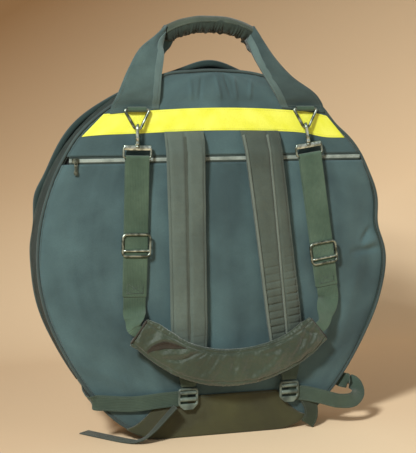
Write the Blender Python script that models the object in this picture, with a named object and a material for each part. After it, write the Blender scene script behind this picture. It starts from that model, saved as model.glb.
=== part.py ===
# Round padded cymbal bag that stands on its edge, modelled at its real size.
# Metres, +Z up, X to the right seen from the wearer's side, which faces -Y.
# The origin is on the floor, under the middle of the base patch.

import math

import bmesh
import bpy
from mathutils import Vector

# Bag body: the round outline, its depth and the layers of its two faces
BODY_WIDTH = 0.591
BODY_HEIGHT = 0.595
BODY_DEPTH = 0.080
BASE_FLAT_WIDTH = 0.188
CORNER_REACH = 0.080
SHEET_THICKNESS = 0.0015
FOAM_THICKNESS = 0.0070
LINING_THICKNESS = 0.0009
GUSSET_THICKNESS = 0.0050
PIPING_RADIUS = 0.0023
PIPING_INSET = 0.0006
PATCH_THICKNESS = 0.0020
CLEARANCE = 0.0003

# Angles measured from the top of the outline, in degrees
ARC_END = 115.0
ARC_STEPS = 20
CORNER_STEPS = 7

# Lid chord, where the front folds down, and the main zip
CHORD_HEIGHT = 0.085
ZIP_Y = 0.0226
ZIP_TAPE_WIDTH = 0.0070
ZIP_TAPE_THICKNESS = 0.0015
ZIP_RIDGE_WIDTH = 0.0020
ZIP_RIDGE_HEIGHT = 0.0012
ZIP_END_ANGLE = 108.0
SLIDER_LENGTH = 0.0120
SLIDER_WIDTH = 0.0100
SLIDER_PLATE = 0.0016
SLIDER_RUNNING_GAP = 0.0006
SLIDER_FLANGE = 0.0011
SLIDER_FLANGE_DEPTH = 0.0010
PLATE_TAPER_SHARE = 0.86
PULL_LENGTH = 0.0220
PULL_WIDTH = 0.0070
CROWN_HEIGHT = 0.0042
CROWN_BAR = 0.0012
SLIDER_ANGLES = (77.0, 84.5)

# Back face: band, pocket zip and base patch
BAND_BELOW_TOP = 0.0610
BAND_END_DROP = 0.0110
BAND_HEIGHT = 0.0360
BAND_TOP_HALF_WIDTH = 0.187
BAND_END_HALF_WIDTH = 0.220
BAND_THICKNESS = 0.0008
POCKET_ZIP_BELOW_TOP = 0.1420
POCKET_GAP = 0.0120
POCKET_ZIP_INSET = 0.0515
POCKET_END_STOP_LENGTH = 0.0100
PATCH_TOP = 0.0680
PATCH_TOP_HALF_WIDTH = 0.1000
PATCH_BASE_HALF_WIDTH = 0.1450

# Carry handle
GRIP_RISE = 0.0860
GRIP_HEIGHT = 0.0280
GRIP_DEPTH = 0.0340
GRIP_LEFT_REACH = 0.0750
GRIP_RIGHT_REACH = 0.0640
GRIP_END_RISE = 0.0560
GRIP_END_SLOPE = 30.0
LEG_THICKNESS = 0.0050
LEG_HEM_SHARE = 0.2

# Legs on the wearer's side, from the sewn hem upwards. Each row gives the inner edge's reach from
# the middle and its height over the bag's top, and then the same two for the outer edge
LEFT_LEG_ROWS = (
    (0.1000, -0.0628, 0.1790, -0.0700),
    (0.1000, -0.0575, 0.1770, -0.0586),
    (0.0998, -0.0480, 0.1710, -0.0465),
    (0.0965, -0.0080, 0.1490, 0.0020),
    (0.0900, 0.0240, 0.1260, 0.0350),
)
RIGHT_LEG_ROWS = (
    (0.0985, -0.0628, 0.1790, -0.0700),
    (0.0960, -0.0575, 0.1770, -0.0586),
    (0.0930, -0.0480, 0.1690, -0.0465),
    (0.0745, -0.0120, 0.1180, -0.0080),
    (0.0590, 0.0190, 0.0890, 0.0270),
)
REAR_LEG_Y = 0.0060
REAR_LEG_WIDTH = 0.0380
REAR_LEG_ANGLE = 24.0

# Triangular rings, their tabs and the shoulder strap's hardware
RING_LEFT_X = -0.1370
RING_RIGHT_X = 0.1440
RING_BAR_BELOW_TOP = 0.0630
RING_HALF_WIDTH = 0.0205
RING_DROP = 0.0330
RING_WIRE = 0.0023
RING_APEX_RADIUS = 0.0070
RING_CORNER_RADIUS = 0.0024
RING_STAND_OFF = 0.0058
RING_LEAN = 0.0052
TAB_WIDTH = 0.0300
TAB_THICKNESS = 0.0016
HOOK_WIRE = 0.0020
HOOK_BOW_RADIUS = 0.0072
HOOK_BOW_RISE = 0.0058
HOOK_TURN = 18.0
HOOK_FRAME_WIDTH = 0.0480
HOOK_FRAME_HEIGHT = 0.0200
HOOK_FRAME_WIRE = 0.0020
HOOK_PLATE_HEIGHT = 0.0075
HOOK_PLATE_THICKNESS = 0.0048
HOOK_LENGTH = 0.0250
HOOK_NOSE = 0.0030
SWIVEL_RADIUS = 0.0042
SWIVEL_HEIGHT = 0.0045

# Shoulder strap
WEBBING_WIDTH = 0.0380
WEBBING_THICKNESS = 0.0016
STRAP_LAYER_GAP = 0.0046
LOOP_SHORT_OF_PAD = 0.1920
SEWN_END = 0.0120
STRAP_TILT_LEFT = -1.5
STRAP_TILT_RIGHT = 8.5
GLIDE_HEIGHT = 0.0380
GLIDE_WIDTH = 0.0480
GLIDE_WIRE = 0.0019
GLIDE_SHARE_LEFT = 0.623
GLIDE_SHARE_RIGHT = 0.741
PAD_WIDTH = 0.0650
PAD_THICKNESS = 0.0150
PAD_Y = -0.0760
PAD_LEFT_X = -0.1420
PAD_SPAN = 0.3030
PAD_LOW_Z = 0.1200
PAD_RISE = 0.0640
PAD_BOW = 0.0060
PAD_END_SHARE = 0.22

# Backpack straps, ladder locks and lower webbing
STRAP_WIDTH = 0.0660
STRAP_THICKNESS = 0.0120
STRAP_BELOW_TOP = 0.1005
STRAP_BOTTOM = 0.1150
STRAP_Y = -0.0550
STRAP_LEFT_TOP_X = -0.0605
STRAP_LEFT_LOW_X = -0.0540
STRAP_RIGHT_TOP_X = 0.0660
STRAP_RIGHT_LOW_X = 0.1160
LOWER_WEBBING_WIDTH = 0.0250
LOWER_WEBBING_THICKNESS = 0.0016
RIM_SHARE = 0.41
LADDER_WIDTH = 0.0330
LADDER_HEIGHT = 0.0300
LADDER_THICKNESS = 0.0040
LADDER_MID_HEIGHT = 0.0680
LADDER_Y = -0.0500
LADDER_LEFT_X = -0.0560
LADDER_RIGHT_X = 0.1180

# Worked out from the sizes above
BODY_RADIUS = BODY_WIDTH / 2
BODY_CENTRE_Z = BODY_HEIGHT - BODY_RADIUS
HALF_DEPTH = BODY_DEPTH / 2
POCKET_ZIP_HALF_WIDTH = BODY_RADIUS - POCKET_ZIP_INSET
POCKET_TRAVEL_START = POCKET_END_STOP_LENGTH - POCKET_ZIP_HALF_WIDTH
BAND_TOP = BODY_HEIGHT - BAND_BELOW_TOP
POCKET_ZIP_HEIGHT = BODY_HEIGHT - POCKET_ZIP_BELOW_TOP
GRIP_TOP = BODY_HEIGHT + GRIP_RISE
RING_BAR_HEIGHT = BODY_HEIGHT - RING_BAR_BELOW_TOP
STRAP_TOP = BODY_HEIGHT - STRAP_BELOW_TOP
LOOP_LENGTH = RING_BAR_HEIGHT - PAD_LOW_Z - LOOP_SHORT_OF_PAD
BASE_Z = PATCH_THICKNESS + CLEARANCE
SHEET_INNER_Y = HALF_DEPTH - SHEET_THICKNESS
FOAM_OUTER_Y = SHEET_INNER_Y - CLEARANCE
FOAM_INNER_Y = FOAM_OUTER_Y - FOAM_THICKNESS
LINING_OUTER_Y = FOAM_INNER_Y - CLEARANCE
LINING_INNER_Y = LINING_OUTER_Y - LINING_THICKNESS
PIPING_Y = SHEET_INNER_Y - CLEARANCE * 2
SHEET_INSET = PIPING_RADIUS + PIPING_INSET + CLEARANCE
FOAM_INSET = GUSSET_THICKNESS + CLEARANCE * 2.5
GUSSET_EDGE_Y = PIPING_Y - PIPING_RADIUS - CLEARANCE
BAND_OUTER_Y = HALF_DEPTH + CLEARANCE + BAND_THICKNESS


def clear_scene():
    """Empty the scene without touching the file or the preferences."""
    for old in list(bpy.data.objects):
        bpy.data.objects.remove(old, do_unlink=True)


def material(name, colour, roughness, metallic=0.0):
    """A Principled material with one colour."""
    made = bpy.data.materials.new(name)
    made.use_nodes = True
    shader = made.node_tree.nodes["Principled BSDF"]
    shader.inputs["Base Color"].default_value = (*colour, 1.0)
    shader.inputs["Roughness"].default_value = roughness
    shader.inputs["Metallic"].default_value = metallic
    return made


def finish_mesh(name, bm, look, parent=None):
    """Turn a bmesh into a named object with outward faces, kept in place under its parent."""
    bmesh.ops.remove_doubles(bm, verts=bm.verts, dist=CLEARANCE / 100)
    bmesh.ops.recalc_face_normals(bm, faces=bm.faces)
    mesh = bpy.data.meshes.new(name)
    bm.to_mesh(mesh)
    bm.free()
    return place(bpy.data.objects.new(name, mesh), look, parent)


def place(made, look, parent):
    """Link an object, give it its material and hang it from its joint's empty."""
    bpy.context.scene.collection.objects.link(made)
    made.data.materials.append(look)
    if parent is not None:
        made.parent = parent
        made.matrix_parent_inverse = parent.matrix_world.inverted()
    return made


def joint_at(name, x, y, z, parent=None):
    """An empty on a joint's axis, which carries the pieces that move there."""
    pivot = bpy.data.objects.new(name, None)
    bpy.context.scene.collection.objects.link(pivot)
    pivot.location = (x, y, z)
    bpy.context.view_layer.update()
    if parent is not None:
        pivot.parent = parent
        pivot.matrix_parent_inverse = parent.matrix_world.inverted()
        bpy.context.view_layer.update()
    return pivot


def extruded(name, points, near, far, look, parent=None):
    """Extrude a closed outline along Y from near to far."""
    bm = bmesh.new()
    face = bm.faces.new([bm.verts.new((x, near, z)) for x, z in points])
    grown = bmesh.ops.extrude_face_region(bm, geom=[face])
    moved = [item for item in grown["geom"] if isinstance(item, bmesh.types.BMVert)]
    bmesh.ops.translate(bm, verts=moved, vec=(0, far - near, 0))
    return finish_mesh(name, bm, look, parent)


def lofted(name, rings, look, parent=None, closed=False):
    """Bridge rings of points, each with the same count, and cap the ends unless closed."""
    bm = bmesh.new()
    loops = [[bm.verts.new(point) for point in ring] for ring in rings]
    pairs = list(zip(loops, loops[1:]))
    if closed:
        pairs.append((loops[-1], loops[0]))
    for first, second in pairs:
        count = len(first)
        for k in range(count):
            following = (k + 1) % count
            bm.faces.new((first[k], first[following], second[following], second[k]))
    if not closed:
        bm.faces.new(loops[0])
        bm.faces.new(list(reversed(loops[-1])))
    return finish_mesh(name, bm, look, parent)


def tube(name, points, radius, look, parent=None, closed=False, sides=2):
    """A round wire along points, as a curve with a bevel and filled caps."""
    data = bpy.data.curves.new(name, "CURVE")
    data.dimensions = "3D"
    spline = data.splines.new("POLY")
    spline.points.add(len(points) - 1)
    for target, point in zip(spline.points, points):
        target.co = (*point, 1.0)
    spline.use_cyclic_u = closed
    data.bevel_depth = radius
    data.bevel_resolution = sides
    data.use_fill_caps = not closed
    return place(bpy.data.objects.new(name, data), look, parent)


def flat_ring(centre, wide, thick, shares):
    """One section of a soft plate: shares are places across its half width and half thickness."""
    return [centre + wide * across + thick * through for across, through in shares]


RECTANGLE_SHARES = ((1, 1), (-1, 1), (-1, -1), (1, -1))
SOFT_SHARES = ((1, 0.5), (0.8, 1), (-0.8, 1), (-1, 0.5), (-1, -0.5), (-0.8, -1), (0.8, -1), (1, -0.5))
CUSHION_SHARES = (
    (1, 0), (0.86, 0.62), (0.5, 1), (0.1, 0.9), (-0.1, 0.9), (-0.5, 1),
    (-0.86, 0.62), (-1, 0), (-0.86, -0.7), (-0.4, -1), (0.4, -1), (0.86, -0.7),
)
CHANNEL_SHARES = (
    (1, 0), (0.88, 0.75), (0.5, 1), (0.14, 0.7), (0, 0.45), (-0.14, 0.7), (-0.5, 1),
    (-0.88, 0.75), (-1, 0), (-0.85, -0.8), (-0.4, -1), (0.4, -1), (0.85, -0.8),
)


def ribbon(name, stops, width, thickness, look, parent=None):
    """A flat strap: each stop gives a place and the direction of its width."""
    places = [Vector(stop[0]) for stop in stops]
    rings = []
    for k, stop in enumerate(stops):
        before = places[max(k - 1, 0)]
        after = places[min(k + 1, len(places) - 1)]
        along = (after - before).normalized()
        wide = Vector(stop[1]).normalized()
        through = along.cross(wide).normalized()
        wide = through.cross(along).normalized()
        half_wide = wide * (width / 2)
        half_thick = through * (thickness / 2)
        rings.append(flat_ring(places[k], half_wide, half_thick, RECTANGLE_SHARES))
    return lofted(name, rings, look, parent)


def arc_point(angle, offset=0.0):
    """A point of the round part of the outline, at an angle from the top in degrees."""
    turn = math.radians(angle)
    reach = BODY_RADIUS + offset
    return reach * math.sin(turn), BODY_CENTRE_Z + reach * math.cos(turn)


def corner_point(share, offset=0.0):
    """A point of the lower corner, a Bezier curve from the arc's end to the flat base."""
    turn = math.radians(ARC_END)
    start = Vector(arc_point(ARC_END))
    end = Vector((BASE_FLAT_WIDTH / 2, BASE_Z))
    leave = start + Vector((math.cos(turn), -math.sin(turn))) * CORNER_REACH
    arrive = end + Vector((CORNER_REACH, 0))
    rest = 1 - share
    place_now = start * rest**3 + leave * 3 * rest**2 * share
    place_now += arrive * 3 * rest * share**2 + end * share**3
    run = (leave - start) * rest**2 + (arrive - leave) * 2 * rest * share + (end - arrive) * share**2
    run.normalize()
    return place_now.x - run.y * offset, place_now.y + run.x * offset


def right_half(offset, first=0.0):
    """The right half of the outline from an angle near the top down to the base's middle."""
    points = []
    for step in range(ARC_STEPS + 1):
        angle = first + (ARC_END - first) * step / ARC_STEPS
        points.append(arc_point(angle, offset))
    for step in range(1, CORNER_STEPS + 1):
        points.append(corner_point(step / CORNER_STEPS, offset))
    return points


def outline(offset=0.0):
    """The whole outline of the bag, moved outwards by offset."""
    right = right_half(offset)
    left = [(-x, z) for x, z in reversed(right[1:])]
    return right + left


def clipped(points, low=None, high=None):
    """Keep the part of an outline between two heights, with the cut edges straight."""
    for limit, sign in ((low, 1), (high, -1)):
        if limit is None:
            continue
        kept = []
        for (x0, z0), (x1, z1) in zip(points, points[1:] + points[:1]):
            inside0 = (z0 - limit) * sign >= 0
            inside1 = (z1 - limit) * sign >= 0
            if inside0:
                kept.append((x0, z0))
            if inside0 != inside1:
                share = (limit - z0) / (z1 - z0)
                kept.append((x0 + (x1 - x0) * share, limit))
        points = kept
    return points


def carved(base, tools, operation):
    """Apply exact Booleans of the tools to the base, then remove the tools."""
    for tool in tools:
        cut = base.modifiers.new("cut", "BOOLEAN")
        cut.operation = operation
        cut.object = tool
    bpy.context.view_layer.update()
    graph = bpy.context.evaluated_depsgraph_get()
    shaped = bpy.data.meshes.new_from_object(base.evaluated_get(graph))
    base.modifiers.clear()
    base.data = shaped
    for tool in tools:
        bpy.data.objects.remove(tool, do_unlink=True)
    return base


def swept_rim(name, profile, start, end, look, parent=None, steps=2 * ARC_STEPS):
    """Carry a profile of (offset, y) places along the round rim between two angles."""
    rings = []
    for step in range(steps + 1):
        angle = start + (end - start) * step / steps
        ring = []
        for offset, y in profile:
            x, z = arc_point(angle, offset)
            ring.append((x, y, z))
        rings.append(ring)
    return lofted(name, rings, look, parent)


def rim_band(name, inner, outer, near, far, look):
    """A closed ring round the whole outline, rectangular in section."""
    outside = outline(outer)
    inside = outline(inner)
    rings = []
    for (xo, zo), (xi, zi) in zip(outside, inside):
        rings.append([(xo, near, zo), (xo, far, zo), (xi, far, zi), (xi, near, zi)])
    return lofted(name, rings, look, closed=True)


def rim_wire(y):
    """The route of a piping cord: over the top, from one side of the base patch to the other."""
    right = []
    for point in right_half(-PIPING_INSET):
        if point[1] > PATCH_TOP or point[0] > PATCH_BASE_HALF_WIDTH:
            right.append(point)
    left = [(-x, z) for x, z in reversed(right[1:])]
    return [(x, y, z) for x, z in left + right]


def zip_slider(name, centre, travel, across, normal, look, parent):
    """The top of a zip slider: a waisted plate with two side flanges over the zip's chain."""
    half_shares = ((1, 0.55), (0.35, 1), (-0.55, 0.85), (-1, 0.6))
    shares = half_shares + tuple((along, -wide) for along, wide in reversed(half_shares))
    half_length = travel * (SLIDER_LENGTH / 2)
    half_width = across * (SLIDER_WIDTH / 2)
    low = flat_ring(centre, half_length, half_width, shares)
    half_length = half_length * PLATE_TAPER_SHARE
    half_width = half_width * PLATE_TAPER_SHARE
    high = flat_ring(centre + normal * SLIDER_PLATE, half_length, half_width, shares)
    return lofted(name, [low, high], look, parent)


def crown(name, seat, hang, across, normal, look):
    """The bridge on a slider: two posts and a bar, with a tunnel for the pull's crossbar."""
    reach = CROWN_HEIGHT / 2 + CROWN_BAR
    half = across * (CROWN_BAR * 0.9)
    foot = normal * -CROWN_BAR / 2
    top = normal * CROWN_HEIGHT
    ceiling = normal * (CROWN_HEIGHT - CROWN_BAR)
    inner = reach - CROWN_BAR
    profile = [
        seat + hang * reach + foot,
        seat + hang * reach + ceiling,
        seat + hang * inner + top,
        seat - hang * inner + top,
        seat - hang * reach + ceiling,
        seat - hang * reach + foot,
        seat - hang * inner + foot,
        seat - hang * inner + ceiling,
        seat + hang * inner + ceiling,
        seat + hang * inner + foot,
    ]
    bm = bmesh.new()
    near = [bm.verts.new(point - half) for point in profile]
    far = [bm.verts.new(point + half) for point in profile]
    arch_faces = ((0, 1, 8, 9), (1, 2, 8), (2, 3, 7, 8), (3, 4, 7), (4, 5, 6, 7))
    for face in arch_faces:
        bm.faces.new([near[k] for k in face])
        bm.faces.new([far[k] for k in reversed(face)])
    count = len(profile)
    for k in range(count):
        following = (k + 1) % count
        bm.faces.new((near[k], far[k], far[following], near[following]))
    return finish_mesh(name, bm, look)


def pull_tab(name, pin, hang, across, normal, look, parent):
    """A flat pull with a window; its top crossbar turns in the crown's tunnel."""
    half = PULL_WIDTH / 2
    window = CROWN_HEIGHT / 2 + CROWN_BAR * 3
    inner = CROWN_BAR * 1.6
    bar = CROWN_BAR / 2
    waist = PULL_LENGTH * 0.6
    grip = PULL_LENGTH * 0.8
    edge = [(-bar, half * 0.8), (window, half * 0.8), (waist, half * 0.55)]
    edge += [(grip, half), (PULL_LENGTH, half * 0.7)]
    outer = edge + [(along, -wide) for along, wide in reversed(edge)]
    hole = [(bar, inner), (window, inner), (window, -inner), (bar, -inner)]
    body = slab(name, pin, hang, across, normal, outer, CROWN_BAR, look, parent)
    cutter = slab(name + "_window", pin, hang, across, normal, hole, CROWN_BAR * 4, look)
    return carved(body, [cutter], "DIFFERENCE")


def slab(name, seat, first, second, normal, outline_points, thickness, look, parent=None):
    """A flat outline in the plane of two directions, given a thickness about that plane."""
    bm = bmesh.new()
    base = seat - normal * (thickness / 2)
    face = bm.faces.new([bm.verts.new(base + first * a + second * b) for a, b in outline_points])
    grown = bmesh.ops.extrude_face_region(bm, geom=[face])
    moved = [item for item in grown["geom"] if isinstance(item, bmesh.types.BMVert)]
    bmesh.ops.translate(bm, verts=moved, vec=normal * thickness)
    return finish_mesh(name, bm, look, parent)


def make_back(looks):
    """Foam, lining and outer sheets of the wearer's side, with the band and the pocket zip."""
    inside = outline(-FOAM_INSET)
    face = outline(-SHEET_INSET)
    half_gap = POCKET_GAP / 2
    extruded("back_foam", inside, -FOAM_OUTER_Y, -FOAM_INNER_Y, looks["nylon"])
    extruded("back_lining", inside, -LINING_OUTER_Y, -LINING_INNER_Y, looks["lining"])
    below = clipped(face, high=POCKET_ZIP_HEIGHT - half_gap)
    above = clipped(face, low=POCKET_ZIP_HEIGHT + half_gap)
    extruded("pocket_sheet", below, -HALF_DEPTH, -SHEET_INNER_Y, looks["nylon"])
    extruded("upper_back_sheet", above, -HALF_DEPTH, -SHEET_INNER_Y, looks["nylon"])
    make_pocket_tape(looks["zip"])
    make_band(looks["band"])


def make_pocket_tape(look):
    """The pocket zip's tape with its chain, across the back between the two sheets."""
    half = POCKET_GAP / 2 - CLEARANCE
    ridge = ZIP_RIDGE_WIDTH
    back = -SHEET_INNER_Y
    front = back - SHEET_THICKNESS / 2
    crest = front - SHEET_THICKNESS / 2
    lower = [(back, -half), (front, -half), (front, -ridge), (crest, -ridge)]
    profile = lower + [(y, -z) for y, z in reversed(lower)]
    rings = []
    for x in (-POCKET_ZIP_HALF_WIDTH, POCKET_ZIP_HALF_WIDTH):
        rings.append([(x, y, POCKET_ZIP_HEIGHT + z) for y, z in profile])
    lofted("pocket_zip_tape", rings, look)


def make_band(look):
    """The bright band: a strip that bends down towards both ends."""
    stations = (-1, -0.72, -0.4, 0, 0.4, 0.72, 1)
    upper = []
    lower = []
    for share in stations:
        drop = BAND_END_DROP * share * share
        upper.append((share * BAND_TOP_HALF_WIDTH, BAND_TOP - drop))
        lower.append((share * BAND_END_HALF_WIDTH, BAND_TOP - BAND_HEIGHT - drop))
    points = upper + list(reversed(lower))
    extruded("hi_vis_band", points, -BAND_OUTER_Y, -HALF_DEPTH - CLEARANCE, look)


def make_gusset(looks):
    """The side wall, which is deep below the chord and stops at the zip above it."""
    front = ZIP_Y - ZIP_TAPE_WIDTH - CLEARANCE * 2
    rim_band("gusset", -GUSSET_THICKNESS, 0, -GUSSET_EDGE_Y, front, looks["nylon"])
    lower = clipped(outline(0), high=CHORD_HEIGHT)
    sill = extruded("gusset_sill", lower, front + CLEARANCE, GUSSET_EDGE_Y, looks["nylon"])
    hollow = clipped(outline(-GUSSET_THICKNESS), high=CHORD_HEIGHT + GUSSET_THICKNESS)
    cutter = extruded("sill_hollow", hollow, -HALF_DEPTH, HALF_DEPTH, looks["nylon"])
    carved(sill, [cutter], "DIFFERENCE")
    tube("back_piping", rim_wire(-PIPING_Y), PIPING_RADIUS, looks["piping"])


def make_patch(look):
    """The base patch: a skin that wraps the bottom and laps up both faces."""
    skin = PATCH_THICKNESS + CLEARANCE
    rim = [point for point in right_half(skin) if point[1] < PATCH_TOP and point[0] < PATCH_BASE_HALF_WIDTH]
    left = [(-x, z) for x, z in reversed(rim)]
    outer = [(-PATCH_TOP_HALF_WIDTH, PATCH_TOP), (PATCH_TOP_HALF_WIDTH, PATCH_TOP)] + rim + left
    patch = extruded("base_patch", outer, -HALF_DEPTH - skin, HALF_DEPTH + skin, look)
    face = HALF_DEPTH + CLEARANCE
    cutter = extruded("patch_inside", outline(CLEARANCE), -face, face, look)
    carved(patch, [cutter], "DIFFERENCE")


def make_front(looks, lid):
    """The front face: a fixed part below the chord and the lid that folds down above it."""
    low = clipped(outline(-SHEET_INSET), high=CHORD_HEIGHT - CLEARANCE)
    extruded("front_sill_sheet", low, SHEET_INNER_Y, HALF_DEPTH, looks["nylon"])
    low_foam = clipped(outline(-FOAM_INSET), high=CHORD_HEIGHT - CLEARANCE)
    extruded("front_sill_foam", low_foam, FOAM_INNER_Y, FOAM_OUTER_Y, looks["nylon"])
    cover = clipped(outline(-SHEET_INSET), low=CHORD_HEIGHT + CLEARANCE)
    extruded("lid_cover", cover, SHEET_INNER_Y, HALF_DEPTH, looks["nylon"], lid)
    inside = clipped(outline(-FOAM_INSET), low=CHORD_HEIGHT + CLEARANCE)
    extruded("lid_foam", inside, FOAM_INNER_Y, FOAM_OUTER_Y, looks["nylon"], lid)
    extruded("lid_lining", inside, LINING_INNER_Y, LINING_OUTER_Y, looks["lining"], lid)
    piping = [point for point in rim_wire(PIPING_Y) if point[2] > CHORD_HEIGHT + PIPING_RADIUS + CLEARANCE]
    tube("lid_piping", piping, PIPING_RADIUS, looks["piping"], lid)
    far = GUSSET_EDGE_Y
    near = ZIP_Y + ZIP_TAPE_WIDTH + CLEARANCE * 2
    strip = [(0, near), (0, far), (-GUSSET_THICKNESS, far), (-GUSSET_THICKNESS, near)]
    swept_rim("lid_gusset", strip, -ZIP_END_ANGLE, ZIP_END_ANGLE, looks["nylon"], lid)
    make_zip(looks["zip"], lid)


def make_zip(look, lid):
    """Both halves of the main zip: a tape with half of the chain along its edge."""
    for name, side, parent in (("bag_zip_tape", -1, None), ("lid_zip_tape", 1, lid)):
        seam = ZIP_Y + side * CLEARANCE
        step = ZIP_Y + side * (CLEARANCE + ZIP_RIDGE_WIDTH)
        edge = ZIP_Y + side * (CLEARANCE + ZIP_TAPE_WIDTH)
        low = -ZIP_TAPE_THICKNESS - CLEARANCE
        chain = [(low, seam), (ZIP_RIDGE_HEIGHT, seam), (ZIP_RIDGE_HEIGHT, step)]
        profile = chain + [(-CLEARANCE, step), (-CLEARANCE, edge), (low, edge)]
        swept_rim(name, profile, -ZIP_END_ANGLE, ZIP_END_ANGLE, look, parent)


def make_slider(name, centre, travel, across, normal, hang, flanges, look, carrier, pull_carrier):
    """A zip slider with its crown, and the pull that swings in it."""
    seat = centre + normal * SLIDER_PLATE
    plate = zip_slider(name, centre, travel, across, normal, look, carrier)
    turned = hang.cross(normal)
    pieces = [crown(name + "_crown", seat, hang, turned, normal, look)]
    inner = ZIP_RIDGE_WIDTH + SLIDER_RUNNING_GAP + CLEARANCE
    for side in flanges:
        edge = inner + SLIDER_FLANGE / 2
        depth = SLIDER_FLANGE_DEPTH + SLIDER_PLATE / 2
        middle = centre + across * (side * edge) + normal * (depth / 2 - SLIDER_FLANGE_DEPTH)
        run = SLIDER_LENGTH * 0.3
        half = SLIDER_FLANGE / 2
        shape = [(run, half), (-run, half), (-run, -half), (run, -half)]
        pieces.append(slab(f"{name}_flange{side}", middle, travel, across, normal, shape, depth, look))
    carved(plate, pieces, "UNION")
    pin = seat + normal * ((CROWN_HEIGHT - CROWN_BAR) / 2)
    pull_tab(name.replace("slider", "pull"), pin, hang, turned, normal, look, pull_carrier)


def rim_frame(angle):
    """Place and directions of the main zip at an angle: along the zip, across it, outwards."""
    turn = math.radians(angle)
    normal = Vector((math.sin(turn), 0, math.cos(turn)))
    travel = Vector((math.cos(turn), 0, -math.sin(turn)))
    reach = BODY_RADIUS + ZIP_RIDGE_HEIGHT + SLIDER_RUNNING_GAP
    centre = Vector((0, ZIP_Y, BODY_CENTRE_Z)) + normal * reach
    return centre, travel, Vector((0, 1, 0)), normal


def make_sliders(look):
    """Two sliders on the main zip, which share one turning axis, and the pocket's slider."""
    for side, angle in zip(("upper", "lower"), SLIDER_ANGLES):
        centre, travel, across, normal = rim_frame(angle)
        carrier = joint_at(f"zip_{side}_axis", 0, ZIP_Y, BODY_CENTRE_Z)
        pin = centre + normal * (SLIDER_PLATE + (CROWN_HEIGHT - CROWN_BAR) / 2)
        swing = joint_at(f"zip_pull_{side}_axis", pin.x, pin.y, pin.z, carrier)
        make_slider(f"zip_slider_{side}", centre, travel, across, normal, travel, (-1,), look, carrier, swing)
    crest = SHEET_INNER_Y + SHEET_THICKNESS + SLIDER_RUNNING_GAP
    centre = Vector((POCKET_TRAVEL_START, -crest, POCKET_ZIP_HEIGHT))
    out = Vector((0, -1, 0))
    down = Vector((0, 0, -1))
    pin = centre + out * (SLIDER_PLATE + (CROWN_HEIGHT - CROWN_BAR) / 2)
    carrier = joint_at("pocket_slider_axis", *centre)
    swing = joint_at("pocket_pull_axis", *pin, carrier)
    make_slider("pocket_slider", centre, Vector((1, 0, 0)), down, out, down, (-1, 1), look, carrier, swing)


def make_handle(looks):
    """The carry handle: a rolled grip and two pairs of legs, spread where they are sewn on."""
    slope = math.radians(GRIP_END_SLOPE)
    half_high = GRIP_HEIGHT / 2
    half_deep = GRIP_DEPTH / 2
    middle_x = (GRIP_RIGHT_REACH - GRIP_LEFT_REACH) / 2
    half_long = (GRIP_RIGHT_REACH + GRIP_LEFT_REACH) / 2
    rings = []
    for share in (-1, -0.8, -0.5, -0.2, 0.2, 0.5, 0.8, 1):
        tilt = -slope * share**3 * 0.75 - slope * share * 0.25
        x = middle_x + half_long * share
        drop = (GRIP_RISE - half_high - GRIP_END_RISE) * abs(share) ** 2.4
        z = GRIP_TOP - half_high - drop
        up = Vector((-math.sin(tilt), 0, math.cos(tilt)))
        ring = []
        for k in range(10):
            turn = 2 * math.pi * k / 10
            sideways = Vector((0, half_deep * math.cos(turn), 0))
            ring.append(Vector((x, 0, z)) + up * (half_high * math.sin(turn)) + sideways)
        rings.append(ring)
    lofted("handle_grip", rings, looks["nylon"])
    left = ("left", -1, LEFT_LEG_ROWS, GRIP_LEFT_REACH)
    right = ("right", 1, RIGHT_LEG_ROWS, GRIP_RIGHT_REACH)
    for side_name, side, rows, reach in (left, right):
        make_leg(f"handle_back_leg_{side_name}", side, looks["nylon"], back_leg_stations(rows, reach))
        make_leg(f"handle_front_leg_{side_name}", side, looks["nylon"], front_leg_stations(reach))


def grip_end(reach, y):
    """Middle and height direction of the grip's end face, at a reach from the middle and a depth y."""
    slope = math.radians(GRIP_END_SLOPE)
    along = Vector((math.cos(slope), 0, -math.sin(slope)))
    high = Vector((math.sin(slope), 0, math.cos(slope)))
    return Vector((reach, y, BODY_HEIGHT + GRIP_END_RISE)) + along * CLEARANCE * 2, high


def back_leg_stations(rows, reach):
    """Sections of a leg on the wearer's side, from its thin sewn hem up to the grip."""
    half = GRIP_DEPTH / 4 - CLEARANCE
    end, high = grip_end(reach, -half - CLEARANCE)
    spread = high * (GRIP_HEIGHT / 2)
    deep = Vector((0, half, 0))
    stations = []
    for k, (inner_x, inner_z, outer_x, outer_z) in enumerate(rows):
        half_thick = LEG_THICKNESS / 2
        if k < 2:
            half_thick *= LEG_HEM_SHARE
        y = -HALF_DEPTH - CLEARANCE - half_thick
        if k == len(rows) - 1:
            y += (end.y - y) * 0.35
        inner = Vector((inner_x, y, BODY_HEIGHT + inner_z))
        outer = Vector((outer_x, y, BODY_HEIGHT + outer_z))
        stations.append((inner.lerp(outer, 0.5), (outer - inner) / 2, Vector((0, half_thick, 0))))
    centre, wide, thick = stations[-1]
    stations.append((centre.lerp(end, 0.5), wide.lerp(spread, 0.6), thick.lerp(deep, 0.5)))
    stations.append((end, spread, deep))
    return stations


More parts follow.
